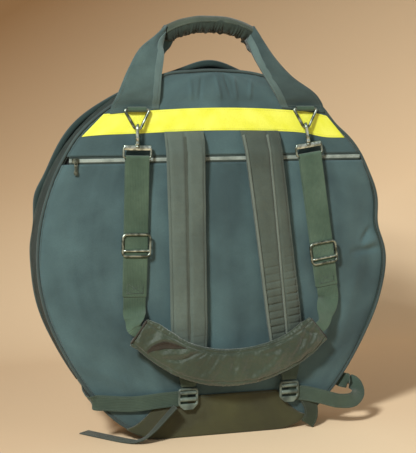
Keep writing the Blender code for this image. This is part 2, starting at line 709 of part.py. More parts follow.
def front_leg_stations(reach):
    """Sections of a leg sewn on the side wall, behind the one on the wearer's side."""
    half = GRIP_DEPTH / 4 - CLEARANCE
    end, high = grip_end(reach, half + CLEARANCE)
    spread = high * (GRIP_HEIGHT / 2)
    x, z = arc_point(REAR_LEG_ANGLE, LEG_THICKNESS / 2 + CLEARANCE)
    turn = math.radians(REAR_LEG_ANGLE)
    run = Vector((math.cos(turn), 0, -math.sin(turn)))
    out = Vector((math.sin(turn), 0, math.cos(turn)))
    foot = Vector((x, REAR_LEG_Y, z))
    wide = Vector((0, REAR_LEG_WIDTH / 4, 0))
    thick = out * (LEG_THICKNESS / 2)
    lifted = foot - run * (REAR_LEG_WIDTH * 0.75) + out * (LEG_THICKNESS * 1.4)
    between = lifted.lerp(end, 0.5)
    side = high * (LEG_THICKNESS * 0.8)
    return [
        (foot + run * (REAR_LEG_WIDTH * 0.4) - out * (LEG_THICKNESS * 0.11), wide, thick),
        (foot, wide, thick),
        (lifted, wide, thick),
        (between, wide, side),
        (end, Vector((0, half, 0)), spread),
    ]


def make_leg(name, side, look, stations):
    """A leg lofted through its stations, mirrored to the side it is on."""
    rings = []
    for centre, wide, thick in stations:
        ring = flat_ring(centre, wide, thick, SOFT_SHARES)
        rings.append([Vector((side * point.x, point.y, point.z)) for point in ring])
    lofted(name, rings, look)


def filleted(corners, radii, steps=4):
    """A closed route through corners, each rounded with its own radius."""
    route = []
    count = len(corners)
    for k in range(count):
        corner = corners[k]
        back = (corners[k - 1] - corner).normalized()
        ahead = (corners[(k + 1) % count] - corner).normalized()
        half = back.angle(ahead) / 2
        centre = corner + (back + ahead).normalized() * (radii[k] / math.sin(half))
        first = corner + back * (radii[k] / math.tan(half)) - centre
        last = corner + ahead * (radii[k] / math.tan(half)) - centre
        sweep = first.angle(last)
        for step in range(steps + 1):
            share = step / steps
            point = first * math.sin((1 - share) * sweep) + last * math.sin(share * sweep)
            route.append(centre + point / math.sin(sweep))
    return route


def wire(name, points, radius, look, parent=None, closed=False, sides=8):
    """A round wire as a mesh, its sections carried along the route without twisting."""
    count = len(points)
    rings = []
    up = None
    for k in range(count):
        before = points[(k - 1) % count] if closed else points[max(k - 1, 0)]
        after = points[(k + 1) % count] if closed else points[min(k + 1, count - 1)]
        along = (after - before).normalized()
        if up is None:
            up = along.orthogonal().normalized()
        up = (up - along * up.dot(along)).normalized()
        other = along.cross(up)
        ring = []
        for step in range(sides):
            turn = 2 * math.pi * (step + 0.5) / sides
            ring.append(points[k] + up * (radius * math.cos(turn)) + other * (radius * math.sin(turn)))
        rings.append(ring)
    return lofted(name, rings, look, parent, closed)


def ring_route(x):
    """Route of a triangular ring: a level bar, two sides and a round lower apex."""
    bar_y = -HALF_DEPTH - RING_STAND_OFF
    apex_drop = RING_DROP + RING_APEX_RADIUS * 0.7
    apex_y = bar_y - RING_LEAN * apex_drop / RING_DROP
    corners = [
        Vector((x - RING_HALF_WIDTH, bar_y, RING_BAR_HEIGHT)),
        Vector((x, apex_y, RING_BAR_HEIGHT - apex_drop)),
        Vector((x + RING_HALF_WIDTH, bar_y, RING_BAR_HEIGHT)),
    ]
    return filleted(corners, (RING_CORNER_RADIUS, RING_APEX_RADIUS, RING_CORNER_RADIUS))


def apex_of(x):
    """Middle of the ring's wire at its lowest point, where the hook hangs."""
    lowest = min(ring_route(x), key=lambda point: point.z)
    return Vector((x, lowest.y, lowest.z))


def make_ring(side, x, looks, pivot):
    """A ring and the webbing tab sewn round its bar."""
    wire(f"ring_{side}", ring_route(x), RING_WIRE, looks["steel"], pivot, closed=True)
    bore = RING_WIRE + CLEARANCE
    rings = []
    for step in range(12):
        turn = 2 * math.pi * step / 12
        spread = Vector((0, math.cos(turn), math.sin(turn)))
        middle = Vector((x, -HALF_DEPTH - RING_STAND_OFF, RING_BAR_HEIGHT))
        half = Vector((TAB_WIDTH / 2, 0, 0))
        inner = middle + spread * (bore / math.cos(math.pi / 12))
        outer = middle + spread * (bore + TAB_THICKNESS)
        rings.append([outer - half, outer + half, inner + half, inner - half])
    lofted(f"ring_tab_{side}", rings, looks["webbing"], closed=True)


def hang_frame(x, tilt):
    """Place and directions of one end of the shoulder strap, hung at its ring's apex."""
    turn = math.radians(tilt)
    down = Vector((math.sin(turn), 0, -math.cos(turn)))
    across = Vector((math.cos(turn), 0, math.sin(turn)))
    return apex_of(x), down, across


def reach_of(across):
    """The direction in which the hook's bow is widest, turned a little towards the wearer."""
    turn = math.radians(HOOK_TURN)
    return Vector((0, -1, 0)) * math.cos(turn) - across * math.sin(turn)


def gate_foot(apex, down, reach):
    """Where the sprung gate pivots, just above the barrel of the hook."""
    return apex - reach * (HOOK_BOW_RADIUS * 0.86) + down * (HOOK_LENGTH * 0.5 - CLEARANCE * 6)


def make_hook(side, x, tilt, looks, body, swivel, gate):
    """A swivel snap hook: bow and shank, sprung gate, and the frame for the webbing."""
    apex, down, across = hang_frame(x, tilt)
    reach = reach_of(across)
    stem = HOOK_LENGTH * 0.52
    route = [apex + reach * HOOK_BOW_RADIUS + down * stem]
    for step in range(9):
        angle = math.pi * step / 8
        aside = reach * (HOOK_BOW_RADIUS * math.cos(angle))
        route.append(apex + aside - down * (HOOK_BOW_RISE * math.sin(angle)))
    route.append(apex - reach * HOOK_BOW_RADIUS + down * HOOK_NOSE)
    hook = wire(f"hook_{side}", route, HOOK_WIRE, looks["steel"], swivel)
    side_way = reach.cross(down)
    sections = ((0.5, 0.92, 0.72), (0.62, 0.9, 0.75), (0.78, 0.62, 0.8), (1.0, 0.55, 0.9))
    rings = []
    for share, long_share, short_share in sections:
        middle = apex + down * (HOOK_LENGTH * share)
        long_half = reach * (HOOK_BOW_RADIUS * 1.35 * long_share)
        short_half = side_way * (SWIVEL_RADIUS * short_share)
        ring = []
        for k in range(8):
            angle = math.pi * k / 4
            ring.append(middle + long_half * math.cos(angle) + short_half * math.sin(angle))
        rings.append(ring)
    barrel = lofted(f"hook_{side}_barrel", rings, looks["steel"])
    carved(hook, [barrel], "UNION")
    low = gate_foot(apex, down, reach)
    high = apex - reach * HOOK_BOW_RADIUS + down * (HOOK_NOSE + CLEARANCE * 2)
    wire(f"hook_gate_{side}", [low, low.lerp(high, 0.5), high], HOOK_WIRE * 0.85, looks["steel"], gate)
    make_hook_frame(side, apex, down, across, looks["steel"], body)


def frame_bars(apex, down):
    """Middles of the hook frame's two bars: the swivel's above and the webbing's below."""
    top = apex + down * (HOOK_LENGTH + CLEARANCE + SWIVEL_HEIGHT - HOOK_FRAME_WIRE / 2)
    bottom = top + down * (HOOK_FRAME_HEIGHT - HOOK_FRAME_WIRE * 2)
    return top, bottom


def make_hook_frame(side, apex, down, across, look, body):
    """The flat loop that the webbing is sewn round, with a plate and the swivel's boss on top."""
    top, bottom = frame_bars(apex, down)
    half = across * (HOOK_FRAME_WIDTH / 2 - HOOK_FRAME_WIRE)
    radius = HOOK_FRAME_WIRE * 1.6
    route = filleted([top - half, top + half, bottom + half, bottom - half], (radius,) * 4, 3)
    frame = wire(f"hook_frame_{side}", route, HOOK_FRAME_WIRE, look, body, closed=True)
    rings = []
    for place_along in (HOOK_LENGTH + CLEARANCE, HOOK_LENGTH + CLEARANCE + SWIVEL_HEIGHT):
        middle = apex + down * place_along
        ring = []
        for k in range(8):
            angle = math.pi * (k + 0.5) / 4
            sideways = across * (SWIVEL_RADIUS * math.cos(angle))
            ring.append(middle + sideways + Vector((0, SWIVEL_RADIUS * math.sin(angle), 0)))
        rings.append(ring)
    boss = lofted(f"hook_boss_{side}", rings, look)
    middle = apex + down * (HOOK_LENGTH + CLEARANCE * 2 + HOOK_PLATE_HEIGHT / 2)
    wide = HOOK_FRAME_WIDTH / 2 - HOOK_FRAME_WIRE
    tall = HOOK_PLATE_HEIGHT / 2
    shape = [(wide, tall), (-wide, tall), (-wide, -tall), (wide, -tall)]
    out = Vector((0, -1, 0))
    thick = HOOK_PLATE_THICKNESS
    plate = slab(f"hook_plate_{side}", middle, across, down, out, shape, thick, look)
    carved(frame, [boss, plate], "UNION")


def make_adjuster(side, x, tilt, glide_share, looks, body, glide_pivot):
    """The doubled webbing below the hook, and the tri-glide that slides along it."""
    apex, down, across = hang_frame(x, tilt)
    bar = frame_bars(apex, down)[1]
    out = Vector((0, -1, 0))
    half_gap = STRAP_LAYER_GAP / 2
    outer = half_gap + WEBBING_THICKNESS
    sewn = LOOP_LENGTH - SEWN_END
    look = looks["webbing"]
    front_half = [(-outer * 0.95, half_gap * 0.6), (-half_gap * 0.5, outer), (LOOP_LENGTH, outer)]
    shape = front_half + [(along, -through) for along, through in reversed(front_half)]
    front_slot = [(-half_gap, half_gap * 0.8), (-half_gap * 0.6, half_gap), (sewn, half_gap)]
    slot = front_slot + [(along, -through) for along, through in reversed(front_slot)]
    loop = slab(f"shoulder_webbing_{side}", bar, down, out, across, shape, WEBBING_WIDTH, look, body)
    cutter = slab(f"webbing_slot_{side}", bar, down, out, across, slot, WEBBING_WIDTH * 1.2, look)
    carved(loop, [cutter], "DIFFERENCE")
    glide = bar + down * (LOOP_LENGTH * glide_share)
    front = out * (outer + CLEARANCE + GLIDE_WIRE)
    half = across * (GLIDE_WIDTH / 2 - GLIDE_WIRE)
    tall = down * (GLIDE_HEIGHT / 2 - GLIDE_WIRE)
    face = glide + front
    corners = [face - half - tall, face + half - tall, face + half + tall, face - half + tall]
    route = filleted(corners, (GLIDE_WIRE * 1.6,) * 4, 3)
    frame = wire(f"tri_glide_{side}", route, GLIDE_WIRE, looks["steel"], glide_pivot, closed=True)
    staple = [face - half, glide - half, glide + half, face + half]
    middle_bar = wire(f"glide_bar_{side}", staple, GLIDE_WIRE * 0.8, looks["steel"])
    carved(frame, [middle_bar], "UNION")


def loop_end(x, tilt):
    """Where the doubled webbing ends, and the direction that it points."""
    apex, down, across = hang_frame(x, tilt)
    bar = frame_bars(apex, down)[1]
    return bar + down * LOOP_LENGTH, down, across


def pad_route():
    """The middle of the shoulder pad's crescent, from its left mouth to its right one."""
    left_shares = ((-1.0, 1.0), (-0.76, 0.58), (-0.5, 0.23), (-0.24, 0.05))
    right_shares = ((0.02, 0.0), (0.36, 0.07), (0.62, 0.25), (0.84, 0.52), (1.0, 0.83))
    middle = PAD_LEFT_X + PAD_SPAN / 2
    places = []
    for across, rise in left_shares + right_shares:
        y = PAD_Y + PAD_BOW * abs(across)
        places.append(Vector((middle + across * PAD_SPAN / 2, y, PAD_LOW_Z + rise * PAD_RISE)))
    return places


def make_pad(looks, body):
    """The shoulder pad: a crowned crescent sleeve, and the webbing that enters its mouths."""
    route = pad_route()
    rings = []
    for k, centre in enumerate(route):
        before = route[max(k - 1, 0)]
        after = route[min(k + 1, len(route) - 1)]
        along = (after - before).normalized()
        out = Vector((0, -1, 0))
        wide = along.cross(out).normalized()
        through = wide.cross(along).normalized()
        end_share = abs(2 * k / (len(route) - 1) - 1)
        swell = 1 - PAD_END_SHARE * end_share**3
        half_wide = wide * (PAD_WIDTH / 2 * swell)
        half_thick = through * (PAD_THICKNESS / 2 * swell)
        rings.append(flat_ring(centre, half_wide, half_thick, CUSHION_SHARES))
    lofted("shoulder_pad", rings, looks["satin"], body)
    left = ("left", RING_LEFT_X, STRAP_TILT_LEFT, route[0], route[1])
    right = ("right", RING_RIGHT_X, STRAP_TILT_RIGHT, route[-1], route[-2])
    for side, x, tilt, mouth, inner in (left, right):
        end, down, across = loop_end(x, tilt)
        away = (mouth - inner).normalized()
        start = end + down * CLEARANCE
        stop = mouth + away * CLEARANCE
        leave = start + down * (WEBBING_WIDTH * 0.5)
        arrive = stop + away * (WEBBING_WIDTH * 0.35)
        points = [start, leave, leave.lerp(arrive, 0.5), arrive, stop]
        sideways = away.cross(Vector((0, -1, 0))).normalized()
        if sideways.dot(across) < 0:
            sideways = -sideways
        stops = [(point, across.lerp(sideways, k / 4)) for k, point in enumerate(points)]
        thickness = WEBBING_THICKNESS * 1.5
        ribbon(f"pad_webbing_{side}", stops, WEBBING_WIDTH * 0.95, thickness, looks["webbing"], body)


def make_backpack_strap(side, x_top, x_low, looks):
    """A padded strap with two sewn channels, hung from the band to its webbing tab."""
    heights = (0, 0.03, 0.09, 0.3, 0.55, 0.8, 0.95, 1)
    outs = (0, 0.45, 0.85, 1, 1, 1, 0.95, 0.8)
    widths = (0.99, 1, 1, 0.98, 0.96, 0.96, 0.9, 0.68)
    thicks = (0.35, 0.7, 1, 1, 1, 1, 0.9, 0.5)
    near = -HALF_DEPTH - CLEARANCE - STRAP_THICKNESS * thicks[0] / 2
    rings = []
    for share, out, width_share, thick_share in zip(heights, outs, widths, thicks):
        x = x_top + (x_low - x_top) * share
        z = STRAP_TOP - (STRAP_TOP - STRAP_BOTTOM) * share
        y = near + (STRAP_Y - near) * out
        centre = Vector((x, y, z))
        wide = Vector((STRAP_WIDTH / 2 * width_share, 0, 0))
        thick = Vector((0, -STRAP_THICKNESS / 2 * thick_share, 0))
        rings.append(flat_ring(centre, wide, thick, CHANNEL_SHARES))
    lofted(f"backpack_strap_{side}", rings, looks["strap"])
    lock_x = LADDER_LEFT_X if side == "left" else LADDER_RIGHT_X
    lock_top = LADDER_MID_HEIGHT + (LADDER_HEIGHT + LADDER_THICKNESS) / 2
    top = Vector((x_low, STRAP_Y * 0.97, STRAP_BOTTOM - CLEARANCE))
    low = Vector((lock_x, LADDER_Y, lock_top + CLEARANCE))
    half = Vector((STRAP_WIDTH * 0.3, 0, 0))
    slim = Vector((LOWER_WEBBING_WIDTH / 2, 0, 0))
    thin = Vector((0, LOWER_WEBBING_THICKNESS / 2, 0))
    rings = []
    for share in (0, 0.6, 1):
        rings.append(flat_ring(top.lerp(low, share), half.lerp(slim, share), thin, RECTANGLE_SHARES))
    lofted(f"strap_tab_{side}", rings, looks["webbing"])


def make_ladder_lock(side, x, looks, pivot):
    """A ladder lock: a flat buckle with two slots, a toothed bar and a lifting tongue."""
    centre = Vector((x, LADDER_Y, LADDER_MID_HEIGHT))
    half = LADDER_WIDTH / 2
    tall = LADDER_HEIGHT / 2
    right = [(half * 0.8, tall), (half, tall * 0.8), (half, -tall * 0.75)]
    right += [(half * 0.7, -tall * 1.1), (half * 0.45, -tall * 1.35)]
    shape = right + [(-wide, high) for wide, high in reversed(right)]
    across = Vector((1, 0, 0))
    up = Vector((0, 0, 1))
    out = Vector((0, -1, 0))
    look = looks["buckle"]
    buckle = slab(f"ladder_lock_{side}", centre, across, up, out, shape, LADDER_THICKNESS, look, pivot)
    cutters = []
    opening = LOWER_WEBBING_WIDTH / 2 + CLEARANCE
    for low_share, high_share in ((0.52, 0.8), (-0.08, 0.22), (-0.72, -0.42)):
        high = tall * high_share
        low = tall * low_share
        hole = [(opening, high), (-opening, high), (-opening, low), (opening, low)]
        name = f"lock_slot_{side}{low_share}"
        cutters.append(slab(name, centre, across, up, out, hole, LADDER_THICKNESS * 2, look))
    carved(buckle, cutters, "DIFFERENCE")


def mirrored(point, side):
    """A place on the right side, or its mirror image on the left."""
    return Vector((side * point[0], point[1], point[2]))


def rim_stop(side, share, offset, y):
    """A stop of the lower webbing where it lies on the side wall, its width along the rim."""
    x, z = corner_point(share, offset)
    above_x, above_z = corner_point(share - 0.05, offset)
    return mirrored((x, y, z), side), mirrored((above_x - x, 0, above_z - z), side)


def make_lower_webbing(looks):
    """The webbing from each ladder lock round to the side wall, and its two loose tails."""
    behind = LADDER_Y + LADDER_THICKNESS / 2 + CLEARANCE + LOWER_WEBBING_THICKNESS / 2
    upright = Vector((0, 0, 1))
    skin = LOWER_WEBBING_THICKNESS / 2 + CLEARANCE
    over_piping = PIPING_RADIUS * 2
    unit = LOWER_WEBBING_WIDTH
    corner_x, corner_z = corner_point(RIM_SHARE)
    rise = corner_z - unit * 0.5 - LADDER_MID_HEIGHT
    low = Vector((LADDER_LEFT_X, behind, LADDER_MID_HEIGHT))
    run = Vector((unit * 0.92 - corner_x - LADDER_LEFT_X, 0, rise))
    sag = Vector((0, 0, -LADDER_HEIGHT))
    left = [
        (low + sag * 0.05, upright),
        (low + run * 0.26 + sag * 0.07, upright),
        (low + run * 0.7 + sag * 0.15, upright),
        (low + run, upright),
        rim_stop(-1, RIM_SHARE + 0.02, over_piping + skin, -HALF_DEPTH - over_piping),
        rim_stop(-1, RIM_SHARE, over_piping + skin, -HALF_DEPTH * 0.75),
        rim_stop(-1, RIM_SHARE - 0.02, skin, -HALF_DEPTH * 0.3),
        rim_stop(-1, RIM_SHARE - 0.04, skin, HALF_DEPTH * 0.2),
    ]
    ribbon("lower_webbing_left", left, unit, LOWER_WEBBING_THICKNESS, looks["webbing"])
    leaning = Vector((0.1, -0.15, 1))
    turning = Vector((-0.45, 0.1, 0.85))
    low = Vector((LADDER_RIGHT_X, behind, LADDER_MID_HEIGHT))
    run = Vector((corner_x + unit * 1.18 - LADDER_RIGHT_X, 0, rise))
    out = Vector((0, -unit, 0))
    right = [
        (low + sag * 0.2, upright),
        (low + run * 0.18 + sag * 0.24, upright),
        (low + run * 0.28 + sag * 0.32 + out * 0.04, upright),
        (low + run * 0.48 + sag * 0.52 + out * 0.34, leaning),
        (low + run * 0.7 + sag * 0.75 + out * 0.56, leaning),
        (low + run * 0.92 + sag * 0.7 + out * 0.42, turning),
        (low + run + sag * 0.38 + out * 0.1, Vector((-0.9, 0, 0.45))),
        (low + run * 0.97 - out * 0.25, Vector((-0.9, 0.1, -0.1))),
        rim_stop(1, RIM_SHARE, over_piping + skin, -HALF_DEPTH * 0.75),
        rim_stop(1, RIM_SHARE - 0.02, skin, -HALF_DEPTH * 0.3),
        rim_stop(1, RIM_SHARE - 0.04, skin, HALF_DEPTH * 0.2),
    ]
    ribbon("lower_webbing_right", right, unit, LOWER_WEBBING_THICKNESS, looks["webbing"])
    make_tails(behind, looks["webbing"])


def make_tails(behind, look):
    """The loose ends: the left one lies folded on the floor, the right one hangs short."""
    unit = LOWER_WEBBING_WIDTH
    lying = LOWER_WEBBING_THICKNESS / 2 + CLEARANCE
    tail_width = unit * 0.92
    start_y = behind - LOWER_WEBBING_THICKNESS / 2 - CLEARANCE - tail_width / 2
    x = LADDER_LEFT_X
    edge_on = Vector((0.0, -1, 0.05))
    left = [
        (Vector((x - unit * 0.95, start_y, LADDER_MID_HEIGHT - unit * 0.45)), edge_on),
        (Vector((x - unit * 1.7, start_y, LADDER_MID_HEIGHT - unit * 1.2)), edge_on),
        (Vector((x - unit * 2.4, start_y, LADDER_MID_HEIGHT - unit * 1.9)), Vector((-0.15, -1, 0))),
        (Vector((x - unit * 3.0, start_y + unit * 0.1, lying + unit * 0.28)), Vector((-0.35, -0.9, 0))),
        (Vector((x - unit * 3.6, start_y + unit * 0.5, lying)), Vector((-0.7, -0.7, 0))),
        (Vector((x - unit * 5.0, start_y + unit * 2.1, lying)), Vector((-0.786, -0.618, 0))),
        (Vector((x - unit * 6.2, start_y + unit * 3.7, lying)), Vector((-0.786, -0.618, 0))),
    ]
    ribbon("strap_tail_left", left, tail_width, LOWER_WEBBING_THICKNESS, look)
    across = Vector((1, 0, 0))
    under = behind + LOWER_WEBBING_THICKNESS + CLEARANCE
    x = LADDER_RIGHT_X + unit * 1.3
    right = [
        (Vector((x, under, LADDER_MID_HEIGHT - unit * 0.6)), across),
        (Vector((x + unit * 0.35, under - unit * 0.02, LADDER_MID_HEIGHT - unit * 1.4)), across),
        (Vector((x + unit * 0.3, under - unit * 0.06, LADDER_MID_HEIGHT - unit * 2.05)), across),
        (Vector((x + unit * 0.05, under - unit * 0.1, lying + unit * 0.24)), across),
    ]
    ribbon("strap_tail_right", right, unit * 0.95, LOWER_WEBBING_THICKNESS, look)


def main():
    clear_scene()
    looks = {
        "nylon": material("nylon", (0.055, 0.098, 0.105), 0.75),
        "lining": material("lining", (0.02, 0.022, 0.024), 0.8),
        "band": material("band", (0.95, 0.93, 0.06), 0.6),
        "zip": material("zip", (0.12, 0.15, 0.15), 0.5),
        "piping": material("piping", (0.04, 0.07, 0.075), 0.6),
        "patch": material("patch", (0.065, 0.055, 0.025), 0.7),
        "webbing": material("webbing", (0.08, 0.115, 0.065), 0.8),
        "strap": material("strap", (0.11, 0.12, 0.09), 0.7),
        "satin": material("satin", (0.12, 0.13, 0.1), 0.45),
        "steel": material("steel", (0.35, 0.36, 0.33), 0.35, 1.0),
        "buckle": material("buckle", (0.1, 0.12, 0.11), 0.45),
    }
    lid = joint_at("lid_axis", 0, HALF_DEPTH, CHORD_HEIGHT)
    make_back(looks)
    make_gusset(looks)
    make_patch(looks["patch"])
    make_front(looks, lid)
    make_sliders(looks["steel"])
    make_handle(looks)
    bar_y = -HALF_DEPTH - RING_STAND_OFF
    hang = apex_of(RING_LEFT_X)
    strap = None
    left = ("left", RING_LEFT_X, STRAP_TILT_LEFT, GLIDE_SHARE_LEFT)
    right = ("right", RING_RIGHT_X, STRAP_TILT_RIGHT, GLIDE_SHARE_RIGHT)
    for side, x, tilt, glide_share in (left, right):
        pivot = joint_at(f"ring_{side}_axis", x, bar_y, RING_BAR_HEIGHT)
        make_ring(side, x, looks, pivot)
        if strap is None:
            strap = joint_at("shoulder_strap_axis", hang.x, hang.y, hang.z, pivot)
        apex, down, across = hang_frame(x, tilt)
        swivel = joint_at(f"hook_{side}_axis", *apex, strap)
        foot = gate_foot(apex, down, reach_of(across))
        gate = joint_at(f"gate_{side}_axis", *foot, swivel)
        make_hook(side, x, tilt, looks, strap, swivel, gate)
        glide = joint_at(f"glide_{side}_axis", *apex, strap)
        make_adjuster(side, x, tilt, glide_share, looks, strap, glide)
    make_pad(looks, strap)
    make_backpack_strap("left", STRAP_LEFT_TOP_X, STRAP_LEFT_LOW_X, looks)
    make_backpack_strap("right", STRAP_RIGHT_TOP_X, STRAP_RIGHT_LOW_X, looks)
    for side, x in (("left", LADDER_LEFT_X), ("right", LADDER_RIGHT_X)):
        lock = joint_at(f"ladder_{side}_axis", x, LADDER_Y, LADDER_MID_HEIGHT + LADDER_HEIGHT / 2)
        make_ladder_lock(side, x, looks, lock)
    make_lower_webbing(looks)


main()
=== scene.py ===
# %% [markdown]
# # A round cymbal bag
#
# The bag stands on its lower edge with its wearer's side to the camera.
# The packed CAD model is loaded first, as a fixed frame of named bodies and nodes.
# Every piece made below is placed in that frame, in metres: X to the right, Y away from
# the wearer, Z up. Each piece rides on the body that carries it, and hides the plain node
# that it stands for.

# %% Load the frame
import math

import bpy
import numpy as np
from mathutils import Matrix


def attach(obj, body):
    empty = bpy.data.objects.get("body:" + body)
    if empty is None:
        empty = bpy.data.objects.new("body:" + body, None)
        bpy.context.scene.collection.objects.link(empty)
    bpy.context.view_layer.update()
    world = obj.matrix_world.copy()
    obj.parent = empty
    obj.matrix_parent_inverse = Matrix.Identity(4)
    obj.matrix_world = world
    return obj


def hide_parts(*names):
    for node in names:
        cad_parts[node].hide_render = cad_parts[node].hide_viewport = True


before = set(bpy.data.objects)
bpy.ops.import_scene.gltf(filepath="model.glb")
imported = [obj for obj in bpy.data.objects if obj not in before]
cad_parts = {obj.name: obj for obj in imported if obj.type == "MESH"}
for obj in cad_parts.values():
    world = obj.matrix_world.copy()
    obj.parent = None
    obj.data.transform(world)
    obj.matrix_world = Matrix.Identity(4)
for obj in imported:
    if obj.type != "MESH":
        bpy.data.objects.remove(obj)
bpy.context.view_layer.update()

# %% [markdown]
# ## Sizes
#
# These are the driving sizes of the packed part, in metres, so that the fabric lies on it.
# The outline is an arc of `RADIUS` round the height `CENTRE_Z`, down to `ARC_END` degrees
# from the top on each side, and then a curve into the flat base.

# %% Sizes of the bag
RADIUS = 0.2955
CENTRE_Z = 0.2995
HALF_DEPTH = 0.040
ARC_END = math.radians(115.0)
BASE_HALF = 0.094
BASE_Z = 0.0023
CORNER_REACH = 0.080
CHORD_Z = 0.085
ZIP_Y = 0.0226
POCKET_Z = 0.453
POCKET_GAP = 0.012
GUSSET = 0.005
SKIN = 0.0015
PIPING = 0.0023
print("outline radius", RADIUS, "m")

# %% [markdown]
# ## Camera
#
# The photograph was taken from a little to the left and above. The camera's place, aim and
# lens were found by fitting the outline and the band to the picture.

# %% Camera and staging
CAMERA_AT = (-0.6004, -1.9404, 0.5703)
CAMERA_AIM = (-0.0194, -0.0400, 0.3439)
LENS = 98.86


def linear(red, green, blue):
    """Linear colour of an sRGB one: ((c + 0.055) / 1.055) ** 2.4 above 0.04, else c / 12.92."""
    share = np.array((red, green, blue)) / 255
    curve = np.where(share > 0.04045, ((share + 0.055) / 1.055) ** 2.4, share / 12.92)
    return (*curve, 1.0)


def placed(name, data):
    """A new object with some data, in the scene."""
    made = bpy.data.objects.new(name, data)
    bpy.context.scene.collection.objects.link(made)
    return made


def aim(thing, at, target):
    """Put a camera or lamp at a place, looking at a target."""
    thing.location = at
    away = np.array(target) - np.array(at)
    flat = math.hypot(away[0], away[1])
    thing.rotation_euler = (math.atan2(flat, -away[2]), 0, math.atan2(-away[0], away[1]))


camera = placed("camera", bpy.data.cameras.new("camera"))
camera.data.lens = LENS
camera.data.sensor_width = 36
aim(camera, CAMERA_AT, CAMERA_AIM)
bpy.context.scene.camera = camera
print("camera at", CAMERA_AT)

# %% [markdown]
# ## Curves and sections
#
# A strap or a leg of the bag is a shape carried along a curve. The curve is a cubic through
# a few rows of values, and its slopes are estimated from the rows themselves. The shape is a
# *section*: a superellipse, `x = |cos t| ** p`, `y = |sin t| ** p`, which is round for
# `p = 1` and nearly a rectangle for a small `p`. Bezier curves with a bevel could do the
# same, but points worked out with numpy can also be wrinkled, squeezed and measured.

# %% Curves and sections
def smooth(rows, count):
    """Cubic curve through rows of values, read at count equal steps of its chord length."""
    rows = np.asarray(rows, float)
    step = np.linalg.norm(np.diff(rows[:, :3], axis=0), axis=1)
    at = np.concatenate([[0], np.cumsum(step)])
    slope = np.gradient(rows, at, axis=0)
    read = np.linspace(0, at[-1], count)
    k = np.clip(np.searchsorted(at, read, side="right") - 1, 0, len(at) - 2)
    span = (at[k + 1] - at[k])[:, None]
    t = ((read - at[k])[:, None]) / span
    first = (2 * t**3 - 3 * t**2 + 1) * rows[k] + (t**3 - 2 * t**2 + t) * span * slope[k]
    return first + (3 * t**2 - 2 * t**3) * rows[k + 1] + (t**3 - t**2) * span * slope[k + 1]


def unit(vectors):
    """The same vectors with length 1."""
    vectors = np.asarray(vectors, float)
    return vectors / np.maximum(np.linalg.norm(vectors, axis=-1, keepdims=True), 1e-12)


def lengths(points):
    """Distance run along a row of points."""
    step = np.linalg.norm(np.diff(points, axis=0), axis=1)
    return np.concatenate([[0], np.cumsum(step)])


def section(count, power):
    """A superellipse of half sizes 1, as count points."""
    turn = np.linspace(0, 2 * np.pi, count, endpoint=False) + np.pi / count
    wide, high = np.cos(turn), np.sin(turn)
    shape = [np.sign(wide) * np.abs(wide) ** power, np.sign(high) * np.abs(high) ** power]
    return np.stack(shape, axis=-1)


def ramp(value, low, high):
    """A smooth step: 0 below low, 1 above high, and t * t * (3 - 2 * t) between."""
    t = np.clip((value - low) / (high - low), 0, 1)
    return t * t * (3 - 2 * t)


print("a strap's section has", len(section(28, 0.25)), "points")

# %% [markdown]
# ## From a grid to a closed body
#
# Every piece made here is a closed grid of points: rows run along the piece and columns run
# round its section. Rows are joined to quads as whole arrays, and the first and last row
# are capped, or joined to each other on a ring. The volume's sign tells which way the faces
# look. Each point also gets a texture place in metres, so that a weave keeps its scale.

# %% Closed grids
def make(name, points, look, slot=None, ends=True, loop=False):
    """A closed body from a grid: point (r, c) joins (r, c + 1), (r + 1, c + 1) and (r + 1, c)."""
    points = np.asarray(points, float)
    rows, columns = points.shape[:2]
    index = np.arange(rows * columns).reshape(rows, columns)
    beside = np.roll(index, -1, axis=1)
    here, after = (index, np.roll(index, -1, axis=0)) if loop else (index[:-1], index[1:])
    here_side, after_side = beside[: len(here)], np.roll(beside, -1, axis=0)[: len(here)]
    quads = np.stack([here, here_side, after_side, after], axis=-1).reshape(-1, 4)
    faces = quads.tolist()
    if ends and not loop:
        faces += [index[0][::-1].tolist(), index[-1].tolist()]
    return shown(name, points.reshape(-1, 3), faces, look, metres(points))


def metres(points):
    """Texture places of a grid, in metres: u round the section and v along the rows."""
    middle = points.mean(axis=1)
    v = np.repeat(lengths(middle)[:, None], points.shape[1], axis=1)
    widest = points[len(points) // 2]
    u = np.repeat(lengths(widest)[None], len(points), axis=0)
    return np.stack([u, v], axis=-1).reshape(-1, 2)


def shown(name, points, faces, look, places=None):
    """An object from points and faces, with outward faces, smooth shading and one material."""
    mesh = bpy.data.meshes.new(name)
    mesh.from_pydata(points.tolist(), [], faces)
    outward(mesh)
    mesh.polygons.foreach_set("use_smooth", np.ones(len(mesh.polygons), bool))
    if places is not None:
        corner = np.zeros(len(mesh.loops), np.int32)
        mesh.loops.foreach_get("vertex_index", corner)
        layer = mesh.uv_layers.new(name="metres")
        layer.data.foreach_set("uv", places[corner].astype(np.float32).ravel())
    mesh.materials.append(look)
    made = placed(name, mesh)
    return made


def outward(mesh):
    """Turn the faces out: the signed volume, the sum of a.(b x c) / 6 over triangles, is positive."""
    mesh.calc_loop_triangles()
    corner = np.zeros(len(mesh.loop_triangles) * 3, np.int32)
    mesh.loop_triangles.foreach_get("vertices", corner)
    place = np.zeros(len(mesh.vertices) * 3)
    mesh.vertices.foreach_get("co", place)
    a, b, c = place.reshape(-1, 3)[corner.reshape(-1, 3)].transpose(1, 0, 2)
    if np.einsum("ij,ij->", a - place.reshape(-1, 3).mean(axis=0), np.cross(b - a, c - a)) < 0:
        mesh.flip_normals()
    mesh.update()


print(make.__doc__)

